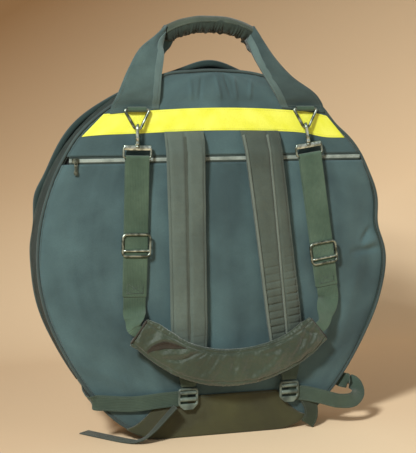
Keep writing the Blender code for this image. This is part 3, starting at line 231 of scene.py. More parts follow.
# %% [markdown]
# ## Lofts, straps and wires
#
# A *loft* carries a section along stations: each station has a centre, a half width vector
# and a half thickness vector. A strap has stops with a place and the direction of its width,
# which lets it twist as webbing does. A wire is a round tube whose rings don't twist.

# %% Lofts, straps and wires
def loft(name, centres, wides, throughs, shape, look, slot=None, loop=False):
    """Carry a section along stations: point = centre + wide * x + through * y."""
    shape = np.broadcast_to(shape, (len(centres), *np.shape(shape)[-2:]))
    points = centres[:, None] + wides[:, None] * shape[..., :1] + throughs[:, None] * shape[..., 1:]
    return make(name, points, look, slot, loop=loop)


def strap_frames(stops, count):
    """Smooth centres, width directions and thickness directions of a strap through its stops."""
    rows = np.array([[*place, *wide] for place, wide in stops], float)
    dense = smooth(rows, count)
    centres = dense[:, :3]
    along = unit(np.gradient(centres, axis=0))
    through = unit(np.cross(along, dense[:, 3:6]))
    return centres, unit(np.cross(through, along)), through


def tube_points(path, radius, sides, loop=False):
    """Rings round a path, side * cos t + other * sin t, carried along it without twisting."""
    path = np.asarray(path, float)
    if loop:
        along = unit(np.roll(path, -1, axis=0) - np.roll(path, 1, axis=0))
    else:
        along = unit(np.gradient(path, axis=0))
    side = np.zeros_like(path)
    guess = np.array((0.31, 0.53, 0.79))
    for k, run in enumerate(along):
        guess = guess - run * (guess @ run)
        guess = guess / np.linalg.norm(guess)
        side[k] = guess
    turn = np.linspace(0, 2 * np.pi, sides, endpoint=False)[None, :, None]
    reach = np.broadcast_to(np.asarray(radius, float), len(path))[:, None, None]
    other = np.cross(along, side)
    return path[:, None] + reach * (side[:, None] * np.cos(turn) + other[:, None] * np.sin(turn))


def tube(name, path, radius, look, slot=None, loop=False, sides=16):
    """A round wire or cord along a path."""
    return make(name, tube_points(path, radius, sides, loop), look, slot, loop=loop)


print(loft.__doc__)

# %% [markdown]
# ## Unevenness, folds and stitches
#
# Used cloth is never flat. Broad waves are sums of sines, and a fold or a crease is a ridge
# whose section is a Gaussian. Stitches and zip teeth are small lozenges set at even steps
# along a line. Each has 24 points, because there are thousands. They are real geometry and
# not a bump map.

# %% Ripples, folds and stitches
def ripple(first, second, scale, height, seed):
    """Soft unevenness: a sum of eight sine waves, with lengths near scale and random directions."""
    draw = np.random.default_rng(seed)
    total = 0
    for _ in range(8):
        turn = draw.uniform(0, 2 * np.pi)
        wave = 2 * np.pi / (scale * draw.uniform(0.6, 1.7))
        run = wave * (first * np.cos(turn) + second * np.sin(turn))
        total = total + np.sin(run + draw.uniform(0, 6.28))
    return total * height / 2.8


def bell(value, middle, width, height):
    """A Gaussian: height * exp(-((value - middle) / width) ** 2)."""
    return height * np.exp(-(((value - middle) / width) ** 2))


def fold(x, z, start, end, width, height):
    """A fold between two places: a ridge of Gaussian section that fades at its ends."""
    start, end = np.array(start), np.array(end)
    run = end - start
    span = np.linalg.norm(run)
    along = ((x - start[0]) * run[0] + (z - start[1]) * run[1]) / span**2
    off = ((x - start[0]) * run[1] - (z - start[1]) * run[0]) / span
    fade = np.clip(np.sin(np.pi * np.clip(along, 0, 1)), 0, 1) ** 0.7
    return bell(off, 0, width, height * fade)


def crease(x, z, path, width, height):
    """A fold along a bent path, of Gaussian section, that fades at its ends."""
    dense = smooth(path, 40)
    gap = np.hypot(x[..., None] - dense[:, 0], z[..., None] - dense[:, 1])
    share = np.sin(np.pi * (np.argmin(gap, axis=-1) + 0.5) / 40)
    return bell(gap.min(axis=-1), 0, width, height * share**0.5)


def dashes(name, path, out, look, slot, pitch=0.0032, radius=0.0004, length=0.0021, across=None):
    """Stitches or teeth at even steps of a path: lozenges along it, or along the way across."""
    path = np.asarray(path, float)
    run = lengths(path)
    at = np.arange(pitch / 2, run[-1], pitch)

    def read(rows):
        rows = np.broadcast_to(rows, path.shape)
        return np.stack([np.interp(at, run, rows[:, k]) for k in range(3)], axis=-1)

    middle = read(path)
    along = unit(read(np.gradient(path, axis=0) if across is None else across))
    up = unit(read(out))
    side = np.cross(along, up)
    half = np.array((-1, -0.55, 0.55, 1)) * length / 2
    thick = np.array((0.45, 1.0, 1.0, 0.45)) * radius
    turn = np.arange(6) * np.pi / 3
    ring = side[:, None] * np.cos(turn)[:, None] + up[:, None] * np.sin(turn)[:, None]
    centre = middle[:, None] + along[:, None] * half[:, None]
    points = centre[:, :, None] + ring[:, None] * thick[:, None, None]
    corner = np.arange(6)
    after = (corner + 1) % 6
    quads = np.stack([corner, after, after + 6, corner + 6], axis=1)
    quads = [quads + r for r in (0, 6, 12)]
    base = (np.arange(len(at)) * 24)[:, None, None]
    faces = (base + np.concatenate(quads)).reshape(-1, 4).tolist()
    faces += (base[:, 0] + corner[::-1]).tolist() + (base[:, 0] + corner + 18).tolist()
    return shown(name, points.reshape(-1, 3), faces, look)


trial = ripple(np.linspace(0, 1, 500), 0, 0.05, 1.0, 3)
print("a ripple of height 1 reaches", round(float(np.abs(trial).max()), 2))

# %% [markdown]
# ## Stuffing
#
# A padded piece swells where it can and stays in where it is sewn. Sculpting could give that,
# but a cloth simulation gives it from the real cause: pressure inside. The points' way is
# capped, so that the piece keeps clear of its neighbours, and the result is written into the
# mesh, so nothing is simulated later. Seams and creases come last, on the finer net.

# %% Stuffing
PRESSED_CLOTH = {
    "quality": 6, "mass": 0.3, "tension_stiffness": 18.0, "compression_stiffness": 18.0,
    "shear_stiffness": 6.0, "bending_stiffness": 0.6, "use_pressure": True,
    "uniform_pressure_force": 4.0,
}
LAST_FRAME = 20


def places_of(mesh, kind="co"):
    """The places of a mesh's vertices, or their normals, as rows."""
    flat = np.zeros(len(mesh.vertices) * 3)
    mesh.vertices.foreach_get(kind, flat)
    return flat.reshape(-1, 3)


def stuffed(name, points, look, slot, detail, voxel=0.005, swell=0.0035, held=None):
    """Stuff a closed grid with pressure by a cloth simulation, then sew its details in.

    The grid is remeshed to an even net, blown up as cloth under pressure with no gravity, and
    each point's way is capped at swell: p = start + d * min(1, swell / |d|). held(points) gives
    the shares, from 0 to 1, of points that stay where they are, as at a seam. The net is then
    divided once, and detail(points, normals) gives how far each point moves along its normal.
    """
    made = make(name, points, look)
    mesh = made.data
    mesh.remesh_voxel_size = voxel
    with bpy.context.temp_override(object=made, active_object=made, selected_objects=[made]):
        bpy.context.view_layer.objects.active = made
        bpy.ops.object.voxel_remesh()
    mesh = made.data
    start = places_of(mesh)
    cloth_mod = made.modifiers.new("stuffing", "CLOTH")
    for key, value in PRESSED_CLOTH.items():
        setattr(cloth_mod.settings, key, value)
    cloth_mod.settings.effector_weights.gravity = 0.0
    cloth_mod.point_cache.frame_start = 1
    cloth_mod.point_cache.frame_end = LAST_FRAME
    for frame_now in range(1, LAST_FRAME + 1):
        bpy.context.scene.frame_set(frame_now)
    graph = bpy.context.evaluated_depsgraph_get()
    settled = made.evaluated_get(graph).to_mesh()
    move = places_of(settled) - start
    made.modifiers.clear()
    bpy.context.scene.frame_set(1)
    size = np.linalg.norm(move, axis=1, keepdims=True)
    move = move * np.minimum(1, swell / np.maximum(size, 1e-9))
    if held is not None:
        move = move * (1 - held(start))[:, None]
    mesh.vertices.foreach_set("co", (start + move).ravel())
    mesh.update()
    finer = made.modifiers.new("finer", "SUBSURF")
    finer.levels = finer.render_levels = 2 if voxel > 0.0035 else 1
    graph = bpy.context.evaluated_depsgraph_get()
    dense = bpy.data.meshes.new_from_object(made.evaluated_get(graph))
    made.modifiers.clear()
    made.data = dense
    bpy.data.meshes.remove(mesh)
    at, normals = places_of(dense), places_of(dense, "normal")
    at = at + normals * detail(at, normals)[:, None]
    dense.vertices.foreach_set("co", at.ravel())
    dense.polygons.foreach_set("use_smooth", np.ones(len(dense.polygons), bool))
    dense.update()
    outward(dense)
    return made


print(stuffed.__doc__)

# %% [markdown]
# ## Materials
#
# A material is a small graph of nodes. The class below keeps one material and adds nodes to
# it with short calls. Textures read the piece's own places in metres, or the object's, and
# never a picture.

# %% A material with short calls
class Look:
    """A Principled material with short calls to add nodes to it."""

    def __init__(self, name, roughness, metallic=0.0, sheen=0.0):
        self.made = bpy.data.materials.new(name)
        self.made.use_nodes = True
        self.tree = self.made.node_tree
        self.shader = self.tree.nodes["Principled BSDF"]
        self.shader.inputs["Roughness"].default_value = roughness
        self.shader.inputs["Metallic"].default_value = metallic
        self.shader.inputs["Sheen Weight"].default_value = sheen
        self.shader.inputs["Sheen Roughness"].default_value = 0.45

    def node(self, kind, settings=(), **values):
        """Add a node; settings are its own, and values go to its inputs by name."""
        added = self.tree.nodes.new(kind)
        for key, value in dict(settings).items():
            setattr(added, key, value)
        for key, value in values.items():
            numbered = key[0] == "i" and key[1:].isdigit()
            socket = added.inputs[int(key[1:]) if numbered else key]
            if isinstance(value, bpy.types.NodeSocket):
                self.tree.links.new(value, socket)
            else:
                socket.default_value = value
        return added.outputs[0]

    def math(self, operation, first, second=0.0, third=0.5):
        """Add a Math node and return its result; only MULTIPLY_ADD uses the third value."""
        return self.node("ShaderNodeMath", {"operation": operation}, i0=first, i1=second, i2=third)

    def wave(self, axis, period):
        """A sine of a coordinate, from -1 to 1, with a period in metres."""
        return self.math("SINE", self.math("MULTIPLY", axis, 2 * math.pi / period))

    def parts(self, place):
        """The x, y and z of a place."""
        split = self.tree.nodes.new("ShaderNodeSeparateXYZ")
        self.tree.links.new(place, split.inputs[0])
        return split.outputs

    def places(self, own):
        """Texture places in metres: the piece's own, or the object's."""
        source = self.tree.nodes.new("ShaderNodeTexCoord")
        return source.outputs["UV" if own else "Object"]

    def colour(self, dark, light, place, scale, detail=5.0, low=0.35, high=0.65):
        """A colour that noise varies between two."""
        cloud = self.node("ShaderNodeTexNoise", Vector=place, Scale=scale, Detail=detail)
        scale_node = self.tree.nodes.new("ShaderNodeValToRGB")
        stops = scale_node.color_ramp.elements
        for stop, position, shade in zip(stops, (low, high), (dark, light)):
            stop.position = position
            stop.color = shade
        self.tree.links.new(cloud, scale_node.inputs[0])
        return scale_node.outputs[0]

    def paint(self, colour):
        """Use a colour as the base colour."""
        self.tree.links.new(colour, self.shader.inputs["Base Color"])

    def bump(self, height, distance, strength=1.0):
        """Let a height, times a distance in metres, tilt the surface."""
        bump = self.node("ShaderNodeBump", Height=height, Distance=distance, Strength=strength)
        self.tree.links.new(bump, self.shader.inputs["Normal"])


def mixed(look, first, second, share):
    """The colour first * (1 - share) + second * share."""
    mix = look.tree.nodes.new("ShaderNodeMix")
    mix.data_type = "RGBA"
    for socket, value in ((mix.inputs[6], first), (mix.inputs[7], second), (mix.inputs[0], share)):
        if isinstance(value, bpy.types.NodeSocket):
            look.tree.links.new(value, socket)
        else:
            socket.default_value = value
    return mix.outputs[2]


print("Look adds nodes with", [call for call in vars(Look) if call[0] != "_"])

# %% [markdown]
# ## Cloth and webbing
#
# The bag is woven nylon. A weave is two sine waves, one for each set of threads: their
# product is the bump, and it darkens the gaps between threads. Broad noise fades the dye,
# and on the large faces a stretched noise mixes in long light streaks, a painted sheen
# highlight. Webbing has ribs across its length, crossed by finer threads along it.

# %% Woven cloth and webbing
HIGHLIGHT_STREAK_STRETCH = (26.0, 3.0, 3.0)
GAP_SHADE, RIB_SHADE = 0.72, 0.55


def cloth(
    name, dark, light, period=0.0011, depth=0.00012,
    roughness=0.78, sheen=0.25, own=True, patch=9.0, highlight_streak=0.0,
):
    """A plain weave: thread height is sin(u) * sin(v), and the gaps between threads are darker."""
    dark, light = linear(*dark), linear(*light)
    look = Look(name, roughness, sheen=sheen)
    place = look.places(own)
    parts = look.parts(place)
    across = look.wave(parts[0], period)
    along = look.wave(parts[1 if own else 2], period)
    thread = look.math("MULTIPLY", across, along)
    broad = look.colour(dark, light, place, patch)
    fine = look.node("ShaderNodeTexNoise", Vector=place, Scale=420.0, Detail=2.0)
    shade = look.math("MULTIPLY_ADD", thread, 0.16, 0.5)
    darker = tuple(value * GAP_SHADE for value in dark[:3]) + (1.0,)
    painted = mixed(look, darker, broad, look.math("ADD", shade, look.math("MULTIPLY", fine, 0.6)))
    # Long streaks mixed towards the light tone: a painted highlight, streaks of sheen.
    if highlight_streak:
        drawn = look.node("ShaderNodeVectorMath", {"operation": "MULTIPLY"}, i0=place, i1=HIGHLIGHT_STREAK_STRETCH)
        wear_and_highlight = look.node("ShaderNodeTexNoise", Vector=drawn, Scale=1.0, Detail=4.0)
        wear_and_highlight = look.math("MULTIPLY", look.math("SUBTRACT", wear_and_highlight, 0.42), highlight_streak * 2.2)
        painted = mixed(look, painted, light, wear_and_highlight)
    look.paint(painted)
    height = look.math("ADD", thread, look.math("MULTIPLY", fine, 0.8))
    look.bump(height, depth)
    return look.made


def webbing(name, dark, light, rib=0.0016, roughness=0.7):
    """Ribs across the length, sin(v), and finer threads along it, 0.45 * sin(u)."""
    dark, light = linear(*dark), linear(*light)
    look = Look(name, roughness, sheen=0.2)
    place = look.places(True)
    parts = look.parts(place)
    ribs = look.wave(parts[1], rib)
    warp = look.wave(parts[0], rib * 1.6)
    broad = look.colour(dark, light, place, 14.0)
    wear_and_highlight = look.node("ShaderNodeTexNoise", Vector=place, Scale=160.0, Detail=4.0)
    darker = tuple(value * RIB_SHADE for value in dark[:3]) + (1.0,)
    share = look.math("MULTIPLY_ADD", ribs, 0.22, 0.45)
    look.paint(mixed(look, darker, broad, look.math("ADD", share, look.math("MULTIPLY", wear_and_highlight, 0.5))))
    look.bump(look.math("ADD", ribs, look.math("MULTIPLY", warp, 0.45)), 0.00025)
    return look.made


print(cloth.__doc__)

# %% [markdown]
# ## Metal and plastic
#
# The rings, hooks and slides are plated steel with brighter, rubbed places and scratches that
# change the roughness. The buckles and the zips' teeth are moulded plastic with a fine grain.

# %% Metal and plastic
def metal(name, base, wear_and_highlight, roughness, own=False):
    """Plating with rubbed, brighter places and faint scratches."""
    look = Look(name, roughness, metallic=1.0)
    place = look.places(own)
    base, wear_and_highlight = linear(*base), linear(*wear_and_highlight)
    look.paint(look.colour(base, wear_and_highlight, place, 120.0, low=0.42, high=0.6))
    scratch = look.node("ShaderNodeTexNoise", Vector=place, Scale=900.0, Detail=6.0)
    rough = look.math("MULTIPLY_ADD", scratch, 0.3, roughness - 0.12)
    look.tree.links.new(rough, look.shader.inputs["Roughness"])
    look.bump(scratch, 0.00004)
    return look.made


def plastic(name, base, light, roughness):
    """Moulded plastic: a fine grain and slightly lighter handled places."""
    look = Look(name, roughness)
    place = look.places(False)
    look.paint(look.colour(linear(*base), linear(*light), place, 60.0))
    grain = look.node("ShaderNodeTexNoise", Vector=place, Scale=1400.0, Detail=2.0)
    look.bump(grain, 0.00005)
    return look.made


print(metal.__doc__)

# %% [markdown]
# ## The bag's finishes
#
# The colours were chosen against the photograph, as a darker and a lighter tone of
# each cloth. Dull green nylon covers the body, the straps are greyer, the webbing is greener,
# and the shoulder pad is a satin with a strong sheen. The zips' sliders and pulls are shown
# as the CAD model has them, so they only get a material.

# %% Finishes
# The body's nylon gets the painted highlight streaks.
NYLON = cloth("nylon", (50, 73, 77), (81, 109, 112), highlight_streak=0.5)
# The walls' nylon is a darker copy of the body's nylon: painted shade on the side walls.
NYLON_SIDE_SHADED = cloth("nylon_side_painted_shade", (26, 44, 42), (44, 64, 61), roughness=0.9, sheen=0.02)
PADDED_LEG = {
    "left": cloth("nylon_legs", (55, 76, 76), (84, 107, 104), patch=16.0),
    # The right legs get a darker copy of the legs' nylon: painted shade.
    "right": cloth("nylon_right_leg_painted_shade", (42, 60, 60), (68, 88, 86), patch=16.0),
}
LEG_LIGHT = cloth("nylon_leg_edge", (74, 94, 92), (98, 118, 114), patch=16.0)
GRIP = cloth("nylon_grip", (54, 64, 52), (78, 88, 72), patch=20.0)
# Much darker than the cap: painted shade for the grip's underside.
GRIP_UNDER_SHADED = cloth("nylon_grip_under_painted_shade", (18, 32, 22), (38, 52, 40), patch=40.0)
STRAP_LEFT = cloth("strap_left", (73, 85, 78), (94, 107, 98), period=0.0013, own=False)
STRAP_RIGHT = cloth("strap_right", (60, 70, 62), (84, 95, 85), period=0.0013, own=False)
SATIN_WEAVE = {"period": 0.0007, "depth": 0.00005, "roughness": 0.42, "sheen": 0.6, "own": False}
SATIN = cloth("satin", (42, 54, 38), (68, 82, 63), **SATIN_WEAVE)
PATCH = cloth("patch", (48, 48, 20), (74, 74, 34), period=0.0018, depth=0.0002, roughness=0.6)
BAND_WEAVE = {"period": 0.0009, "depth": 0.00007, "roughness": 0.5, "patch": 30.0}
BAND = cloth("band", (240, 240, 62), (252, 252, 104), **BAND_WEAVE)
LINING = cloth("lining", (34, 36, 38), (48, 50, 52), period=0.0008, depth=0.00006)
PIPE = cloth("piping", (44, 60, 60), (66, 84, 82), period=0.0010)
PIPE_LIGHT = cloth("trim", (92, 102, 92), (118, 128, 118), period=0.0009)
# A dark strip for the left strap's channel: painted shade in the pressed groove.
VALLEY_PAINTED_SHADE = cloth("valley", (62, 70, 60), (82, 90, 80), period=0.0009)
# A dark brown for painted shade in the pad's open fold and inside its two mouths.
MOUTH_SHADE = cloth("mouth", (38, 30, 16), (62, 50, 30))
TAPE = cloth("zip_tape", (44, 58, 55), (66, 80, 76), period=0.0009, sheen=0.02)
WEBBING = webbing("webbing", (60, 84, 66), (90, 114, 92))
WEBBING_RIGHT = webbing("webbing_right", (68, 94, 76), (100, 124, 104))
WEBBING_LOW = webbing("webbing_low", (54, 74, 62), (77, 98, 82))
# The tails' webbing is a darker copy of the webbing: painted shade.
WEBBING_TAIL_SHADED = webbing("webbing_tail_painted_shade", (34, 46, 30), (60, 72, 48))
STEEL = metal("steel", (92, 98, 88), (166, 174, 162), 0.38)
# A brighter copy of the steel for the hooks, frame plates and glide cross bars: painted highlight.
STEEL_PAINTED_HIGHLIGHT = metal("steel_painted_highlight", (150, 160, 150), (226, 236, 228), 0.30)
CHAIN_DARK = plastic("main_chain", (50, 62, 58), (74, 86, 80), 0.45)
CHAIN = plastic("zip_chain", (132, 142, 134), (170, 180, 172), 0.45)
BUCKLE = plastic("buckle", (62, 72, 66), (108, 120, 110), 0.42)
THREAD = cloth("thread", (70, 84, 78), (98, 112, 104), period=0.0004, own=False)
THREAD_BAND = cloth("thread_band", (190, 190, 60), (230, 230, 96), period=0.0004, own=False)
SLIDERS = ("zip_slider_upper", "zip_slider_lower", "pocket_slider")
PULLS = ("zip_pull_upper", "zip_pull_lower", "pocket_pull")
for name in SLIDERS + PULLS:
    node = bpy.data.objects.get(name)
    if node is not None:
        node.data.materials.clear()
        node.data.materials.append(STEEL)
print(len(bpy.data.materials), "materials")

# %% [markdown]
# ## The outline
#
# The bag is round, with a flat base that it stands on. Its outline is an arc and a cubic
# Bezier curve into the base. `rim(offset)` is the right half, moved out by an offset, so
# every cloth, cord and tape at the edge takes its place from the same line.

# %% Outline of the bag
def rim(offset, count=160):
    """Right half of the outline from the top to the base's middle, moved out by offset."""
    turn = np.linspace(0, ARC_END, count)
    reach = RADIUS + offset
    arc = np.stack([reach * np.sin(turn), CENTRE_Z + reach * np.cos(turn)], axis=1)
    leave = np.array((math.cos(ARC_END), -math.sin(ARC_END)))
    start = np.array((RADIUS * math.sin(ARC_END), CENTRE_Z + RADIUS * math.cos(ARC_END)))
    end = np.array((BASE_HALF, BASE_Z))
    a, b, c, d = start, start + leave * CORNER_REACH, end + np.array((CORNER_REACH, 0)), end
    t = np.linspace(0, 1, count // 3)[1:, None]
    rest = 1 - t
    curve = a * rest**3 + 3 * b * rest**2 * t + 3 * c * rest * t**2 + d * t**3
    run = unit((b - a) * rest**2 + 2 * (c - b) * rest * t + (d - c) * t**2)
    curve = curve + np.stack([-run[:, 1], run[:, 0]], axis=1) * offset
    return np.concatenate([arc, curve])


def whole_rim(offset, count=160):
    """The outline all the way round, from the base's middle over the top and back to it."""
    right = rim(offset, count)
    left = right[::-1] * np.array((-1, 1))
    return np.concatenate([left, right[1:]])


print("outline points", len(whole_rim(0)))

# %% [markdown]
# ## The shape of a used bag
#
# A full bag that leans on its straps isn't quite round. In the photograph its near rim sinks
# at the upper right, is notched lower down on that side, bulges at the left, and lies level
# between the handle's legs. Its front rim stands out at the left. Each of these is a Gaussian
# in the angle from the top. The functions move finished points, so whatever lies at the rim
# moves alike and the seams stay shut.

# %% Sag and flare
SINK_TURN = 44.0
SINKS = ((SINK_TURN, 6, 0.0065), (SINK_TURN + 19, 15, 0.0050))
BULGE = (-50, 13, -0.0050)
NOTCH = (82, 7.5, 0.0135)
FLARES = ((-48, 13, 0.0085), (-71, 5, 0.0050), (-81, 5, -0.0034), (-94, 8, -0.0020))


def sag(points):
    """Pull points in towards the middle by the sinks, fading off the near rim and inwards."""
    points = np.array(points, float)
    x, y, z = points[..., 0], points[..., 1], points[..., 2] - CENTRE_Z
    reach = np.maximum(np.hypot(x, z), 0.01)
    turn = np.degrees(np.arctan2(x, z))
    near = 1 - ramp(y, -0.030, 0.012)
    outer = ramp(reach, 0.19, 0.28) * near
    sink = (bell(turn, *SINKS[0]) + bell(turn, *SINKS[1])) * outer
    sink = sink + bell(turn, *BULGE) * outer
    sink = sink + bell(turn, *NOTCH) * ramp(reach, 0.22, 0.285) * near
    level = bell(x, -0.088, 0.030, 0.0058) - bell(x, 0.012, 0.030, 0.0016)
    points[..., 0] -= sink * x / reach
    clear = np.clip(np.abs(z + CENTRE_Z - POCKET_Z) / 0.03, 0, 1)
    points[..., 2] += level * ramp(reach, 0.25, 0.287) * near * (z > 0) - sink * clear * z / reach
    return points


def flare(turn):
    """How far the front edge stands out of round: a sum of Gaussians of the angle from the top."""
    return sum(bell(np.degrees(turn), *part) for part in FLARES)


print("deepest sink of the near rim", round(float(bell(NOTCH[0], *NOTCH) * 1000), 1), "mm")

# %% [markdown]
# ## A padded face
#
# A face is built row by row: each row runs from the left edge to the right edge at one
# height, so `x = s * edge(z)` with s from -1 to 1. The cloth crowns between its seams:
# near the rim, at a distance d under `ROLL`, it drops by
# `EDGE_DROP * (1 - sqrt(1 - (1 - d / ROLL) ** 2))`. A flat plate with a bevel would look
# stiff, because a bevel is the same all the way round.

# %% A padded face
ROLL = 0.016
EDGE_DROP = 0.0035
FACE_INSET = 0.0032


def edge_at(z, offset):
    """Half width of the bag at a height."""
    line = rim(offset)[::-1]
    return np.interp(z, line[:, 1], line[:, 0])


def from_rim(x, z):
    """Distance in from the outline: the least distance to its points."""
    line = whole_rim(-FACE_INSET, 110)
    flat = np.stack([x.ravel(), z.ravel()], axis=1)
    near = np.full(len(flat), 1.0)
    for start in range(0, len(flat), 4000):
        part = flat[start : start + 4000]
        gap = np.linalg.norm(part[:, None] - line[None], axis=2)
        near[start : start + 4000] = gap.min(axis=1)
    return np.minimum(near.reshape(x.shape), np.abs(z - BASE_Z))


def face(name, low, high, side, height, look, slot, rows=110, columns=200):
    """A closed skin over one side of the bag; height(x, z) raises it outwards."""
    share = np.linspace(0, 1, rows)
    if high > CENTRE_Z * 1.9:
        share = np.sin(share * np.pi / 2)
    elif low < CHORD_Z / 2:
        share = share * 0.45 + (1 - np.cos(share * np.pi / 2)) * 0.55
    z = (low + (high - low) * share)[:, None] * np.ones(columns)
    x = np.linspace(-1, 1, columns)[None] * edge_at(z, -FACE_INSET)
    inward = np.clip(from_rim(x, z) / ROLL, 0, 1)
    drop = EDGE_DROP * (1 - np.sqrt(1 - (1 - inward) ** 2))
    lift = height(x, z)
    front = np.stack([x, side * (HALF_DEPTH + lift - drop), z], axis=-1)
    back = np.stack([x, side * (HALF_DEPTH - SKIN * 1.6) * np.ones_like(x), z], axis=-1)
    back[..., 1] = side * np.minimum(np.abs(back[..., 1]), np.abs(front[..., 1]) - SKIN * 0.4)
    points = np.concatenate([front, back[:, ::-1]], axis=1)
    return make(name, sag(points) if side < 0 else points, look, slot)


print(face.__doc__)

# %% [markdown]
# ## The wearer's side
#
# The lower part of this side is a big pocket and the upper part is a plain sheet, with a
# zip between them. The pocket crowns by `PILLOW` in its middle and lies flat towards the zip
# above and the base patch below. Its folds, and the gathers above the band, are Gaussian
# ridges, listed one by one: start, end, width and height.

# %% Back faces
PILLOW = 0.0052
POCKET_FOLDS = (
    ((-0.275, 0.33), (-0.19, 0.12), 0.012, 0.0016),
    ((-0.262, 0.40), (-0.215, 0.20), 0.009, -0.0012),
    ((0.270, 0.36), (0.200, 0.10), 0.012, 0.0014),
    ((-0.020, 0.44), (-0.010, 0.20), 0.010, 0.0008),
    ((0.012, 0.44), (0.020, 0.26), 0.008, -0.0008),
    ((-0.245, 0.14), (-0.12, 0.075), 0.010, 0.0014),
    ((0.140, 0.075), (0.235, 0.13), 0.010, 0.0014),
    ((-0.110, 0.43), (-0.118, 0.25), 0.007, 0.0007),
    ((0.252, 0.306), (0.284, 0.336), 0.0040, -0.0042),
    ((0.228, 0.292), (0.292, 0.298), 0.0050, -0.0042),
    ((0.254, 0.300), (0.292, 0.316), 0.0065, 0.0040),
)
UPPER_FOLDS = (
    ((-0.050, 0.585), (-0.046, 0.536), 0.003, 0.0022),
    ((-0.030, 0.588), (-0.034, 0.540), 0.003, -0.0020),
    ((-0.008, 0.588), (0.004, 0.538), 0.003, 0.0026),
    ((0.006, 0.588), (0.020, 0.548), 0.0022, -0.0030),
    ((0.022, 0.586), (0.030, 0.538), 0.003, 0.0026),
    ((0.052, 0.580), (0.050, 0.540), 0.003, 0.0020),
)


def pocket_height(x, z):
    """Height of the pocket: a pillow 1 - r ** 3, its folds, and a side that hangs in at the right."""
    reach = np.hypot(x / RADIUS, (z - 0.27) / 0.27)
    pillow = PILLOW * np.clip(1 - reach**3, 0, 1)
    lift = pillow * ramp(z, 0.07, 0.16) * (1 - ramp(z, 0.38, 0.446))
    for start, end, width, height in POCKET_FOLDS:
        lift = lift + fold(x, z, start, end, width, height)
    lift = lift - 0.0050 * ramp(x, 0.19, 0.285) * (1 - ramp(z, 0.39, 0.44)) * ramp(z, 0.06, 0.14)
    return lift + ripple(x, z, 0.09, 0.0004, 3) + ripple(x, z, 0.028, 0.00012, 4)


def upper_height(x, z):
    """Height of the sheet above the pocket: gathers in the part above the band."""
    above = ramp(z, 0.541, 0.556)
    lift = 0.0016 * above * (1 - ramp(np.abs(x), 0.05, 0.10))
    for start, end, width, height in UPPER_FOLDS:
        lift = lift + fold(x, z, start, end, width, height) * above
    return lift + ripple(x, z, 0.05, 0.0002, 5) * above


FACE_TOP = 0.5916
FACE_LOW = 0.0058
pocket_top, upper_low = POCKET_Z - POCKET_GAP / 2, POCKET_Z + POCKET_GAP / 2
pocket_face = face("pocket_face", FACE_LOW, pocket_top, -1, pocket_height, NYLON, "nylon", rows=150)
upper_face = face("upper_face", upper_low, FACE_TOP, -1, upper_height, NYLON, "nylon", rows=70)
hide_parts("pocket_sheet", "back_foam")
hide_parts("upper_back_sheet")
for piece in (pocket_face, upper_face):
    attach(piece, "bag")
print("back faces", len(pocket_face.data.polygons) + len(upper_face.data.polygons), "faces")

# %% [markdown]
# ## The bright band
#
# A bright yellow strip lies across the upper sheet and bends down towards both ends:
# `z = BAND_TOP - drop * s ** 2`. It is a thin loft between its two edges, which are turned
# under and sewn, so that it has an edge of its own and casts a thin shadow.

# %% Band
BAND_TOP = 0.534
BAND_HEIGHT = 0.036
BAND_DROP = 0.011
BAND_TOP_HALF = 0.187
BAND_LOW_HALF = 0.220
BAND_Y = -0.0402

share = np.linspace(-1, 1, 150)
bow = BAND_TOP - BAND_DROP * share**2
upper = sag(np.stack([share * BAND_TOP_HALF, np.full(150, BAND_Y), bow], axis=1))
lower = sag(np.stack([share * BAND_LOW_HALF, np.full(150, BAND_Y), bow - BAND_HEIGHT], axis=1))
middle = (upper + lower) / 2
middle[:, 1] -= ripple(share * 0.2, share * 0, 0.05, 0.00015, 8)
outwards = np.tile((0.0, -0.00042, 0.0), (150, 1))
band = loft("band", middle, (upper - lower) / 2, outwards, section(40, 0.22), BAND, "band")
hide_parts("hi_vis_band")
pieces = [band]
for label, line, inside in (("top", upper, -0.0026), ("low", lower, 0.0026)):
    seam = line + np.array((0, -0.00045, inside))
    pieces.append(dashes(f"band_stitch_{label}", seam, (0, -1, 0), THREAD_BAND, "band", radius=0.0003))
for piece in pieces:
    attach(piece, "bag")
print("band and", len(pieces) - 1, "seams")

# %% [markdown]
# ## Zips
#
# A coil zip is a tape with a row of teeth on each half. The pocket's zip runs level across
# the back. The main zip follows the rim between 108 degrees left and right of the top, and
# its front half belongs to the lid. Single teeth are lozenges laid across the tape, which
# catch the light as a row of dots, as the photographed chain does.

# %% Zips
POCKET_ZIP_HALF = 0.2440
POCKET_TAPE_Y = -0.0390
ZIP_END = math.radians(108.0)
TAPE_HALF = 0.0035


def arc_line(offset, y, end=ZIP_END, count=260):
    """Points on the round rim between -end and end from the top."""
    turn = np.linspace(-end, end, count)
    reach = RADIUS + offset
    return np.stack([reach * np.sin(turn), np.full(count, y), CENTRE_Z + reach * np.cos(turn)], axis=1)


def flat_tape(name, line, wide, through):
    """A zip's tape: a thin flat section, 0.4 in power, along a line."""
    return loft(name, line, wide, through, section(16, 0.4), TAPE, "zip")


def arc_out(end=ZIP_END, count=260):
    """Outward directions at the same places."""
    turn = np.linspace(-end, end, count)
    return np.stack([np.sin(turn), np.zeros(count), np.cos(turn)], axis=1)


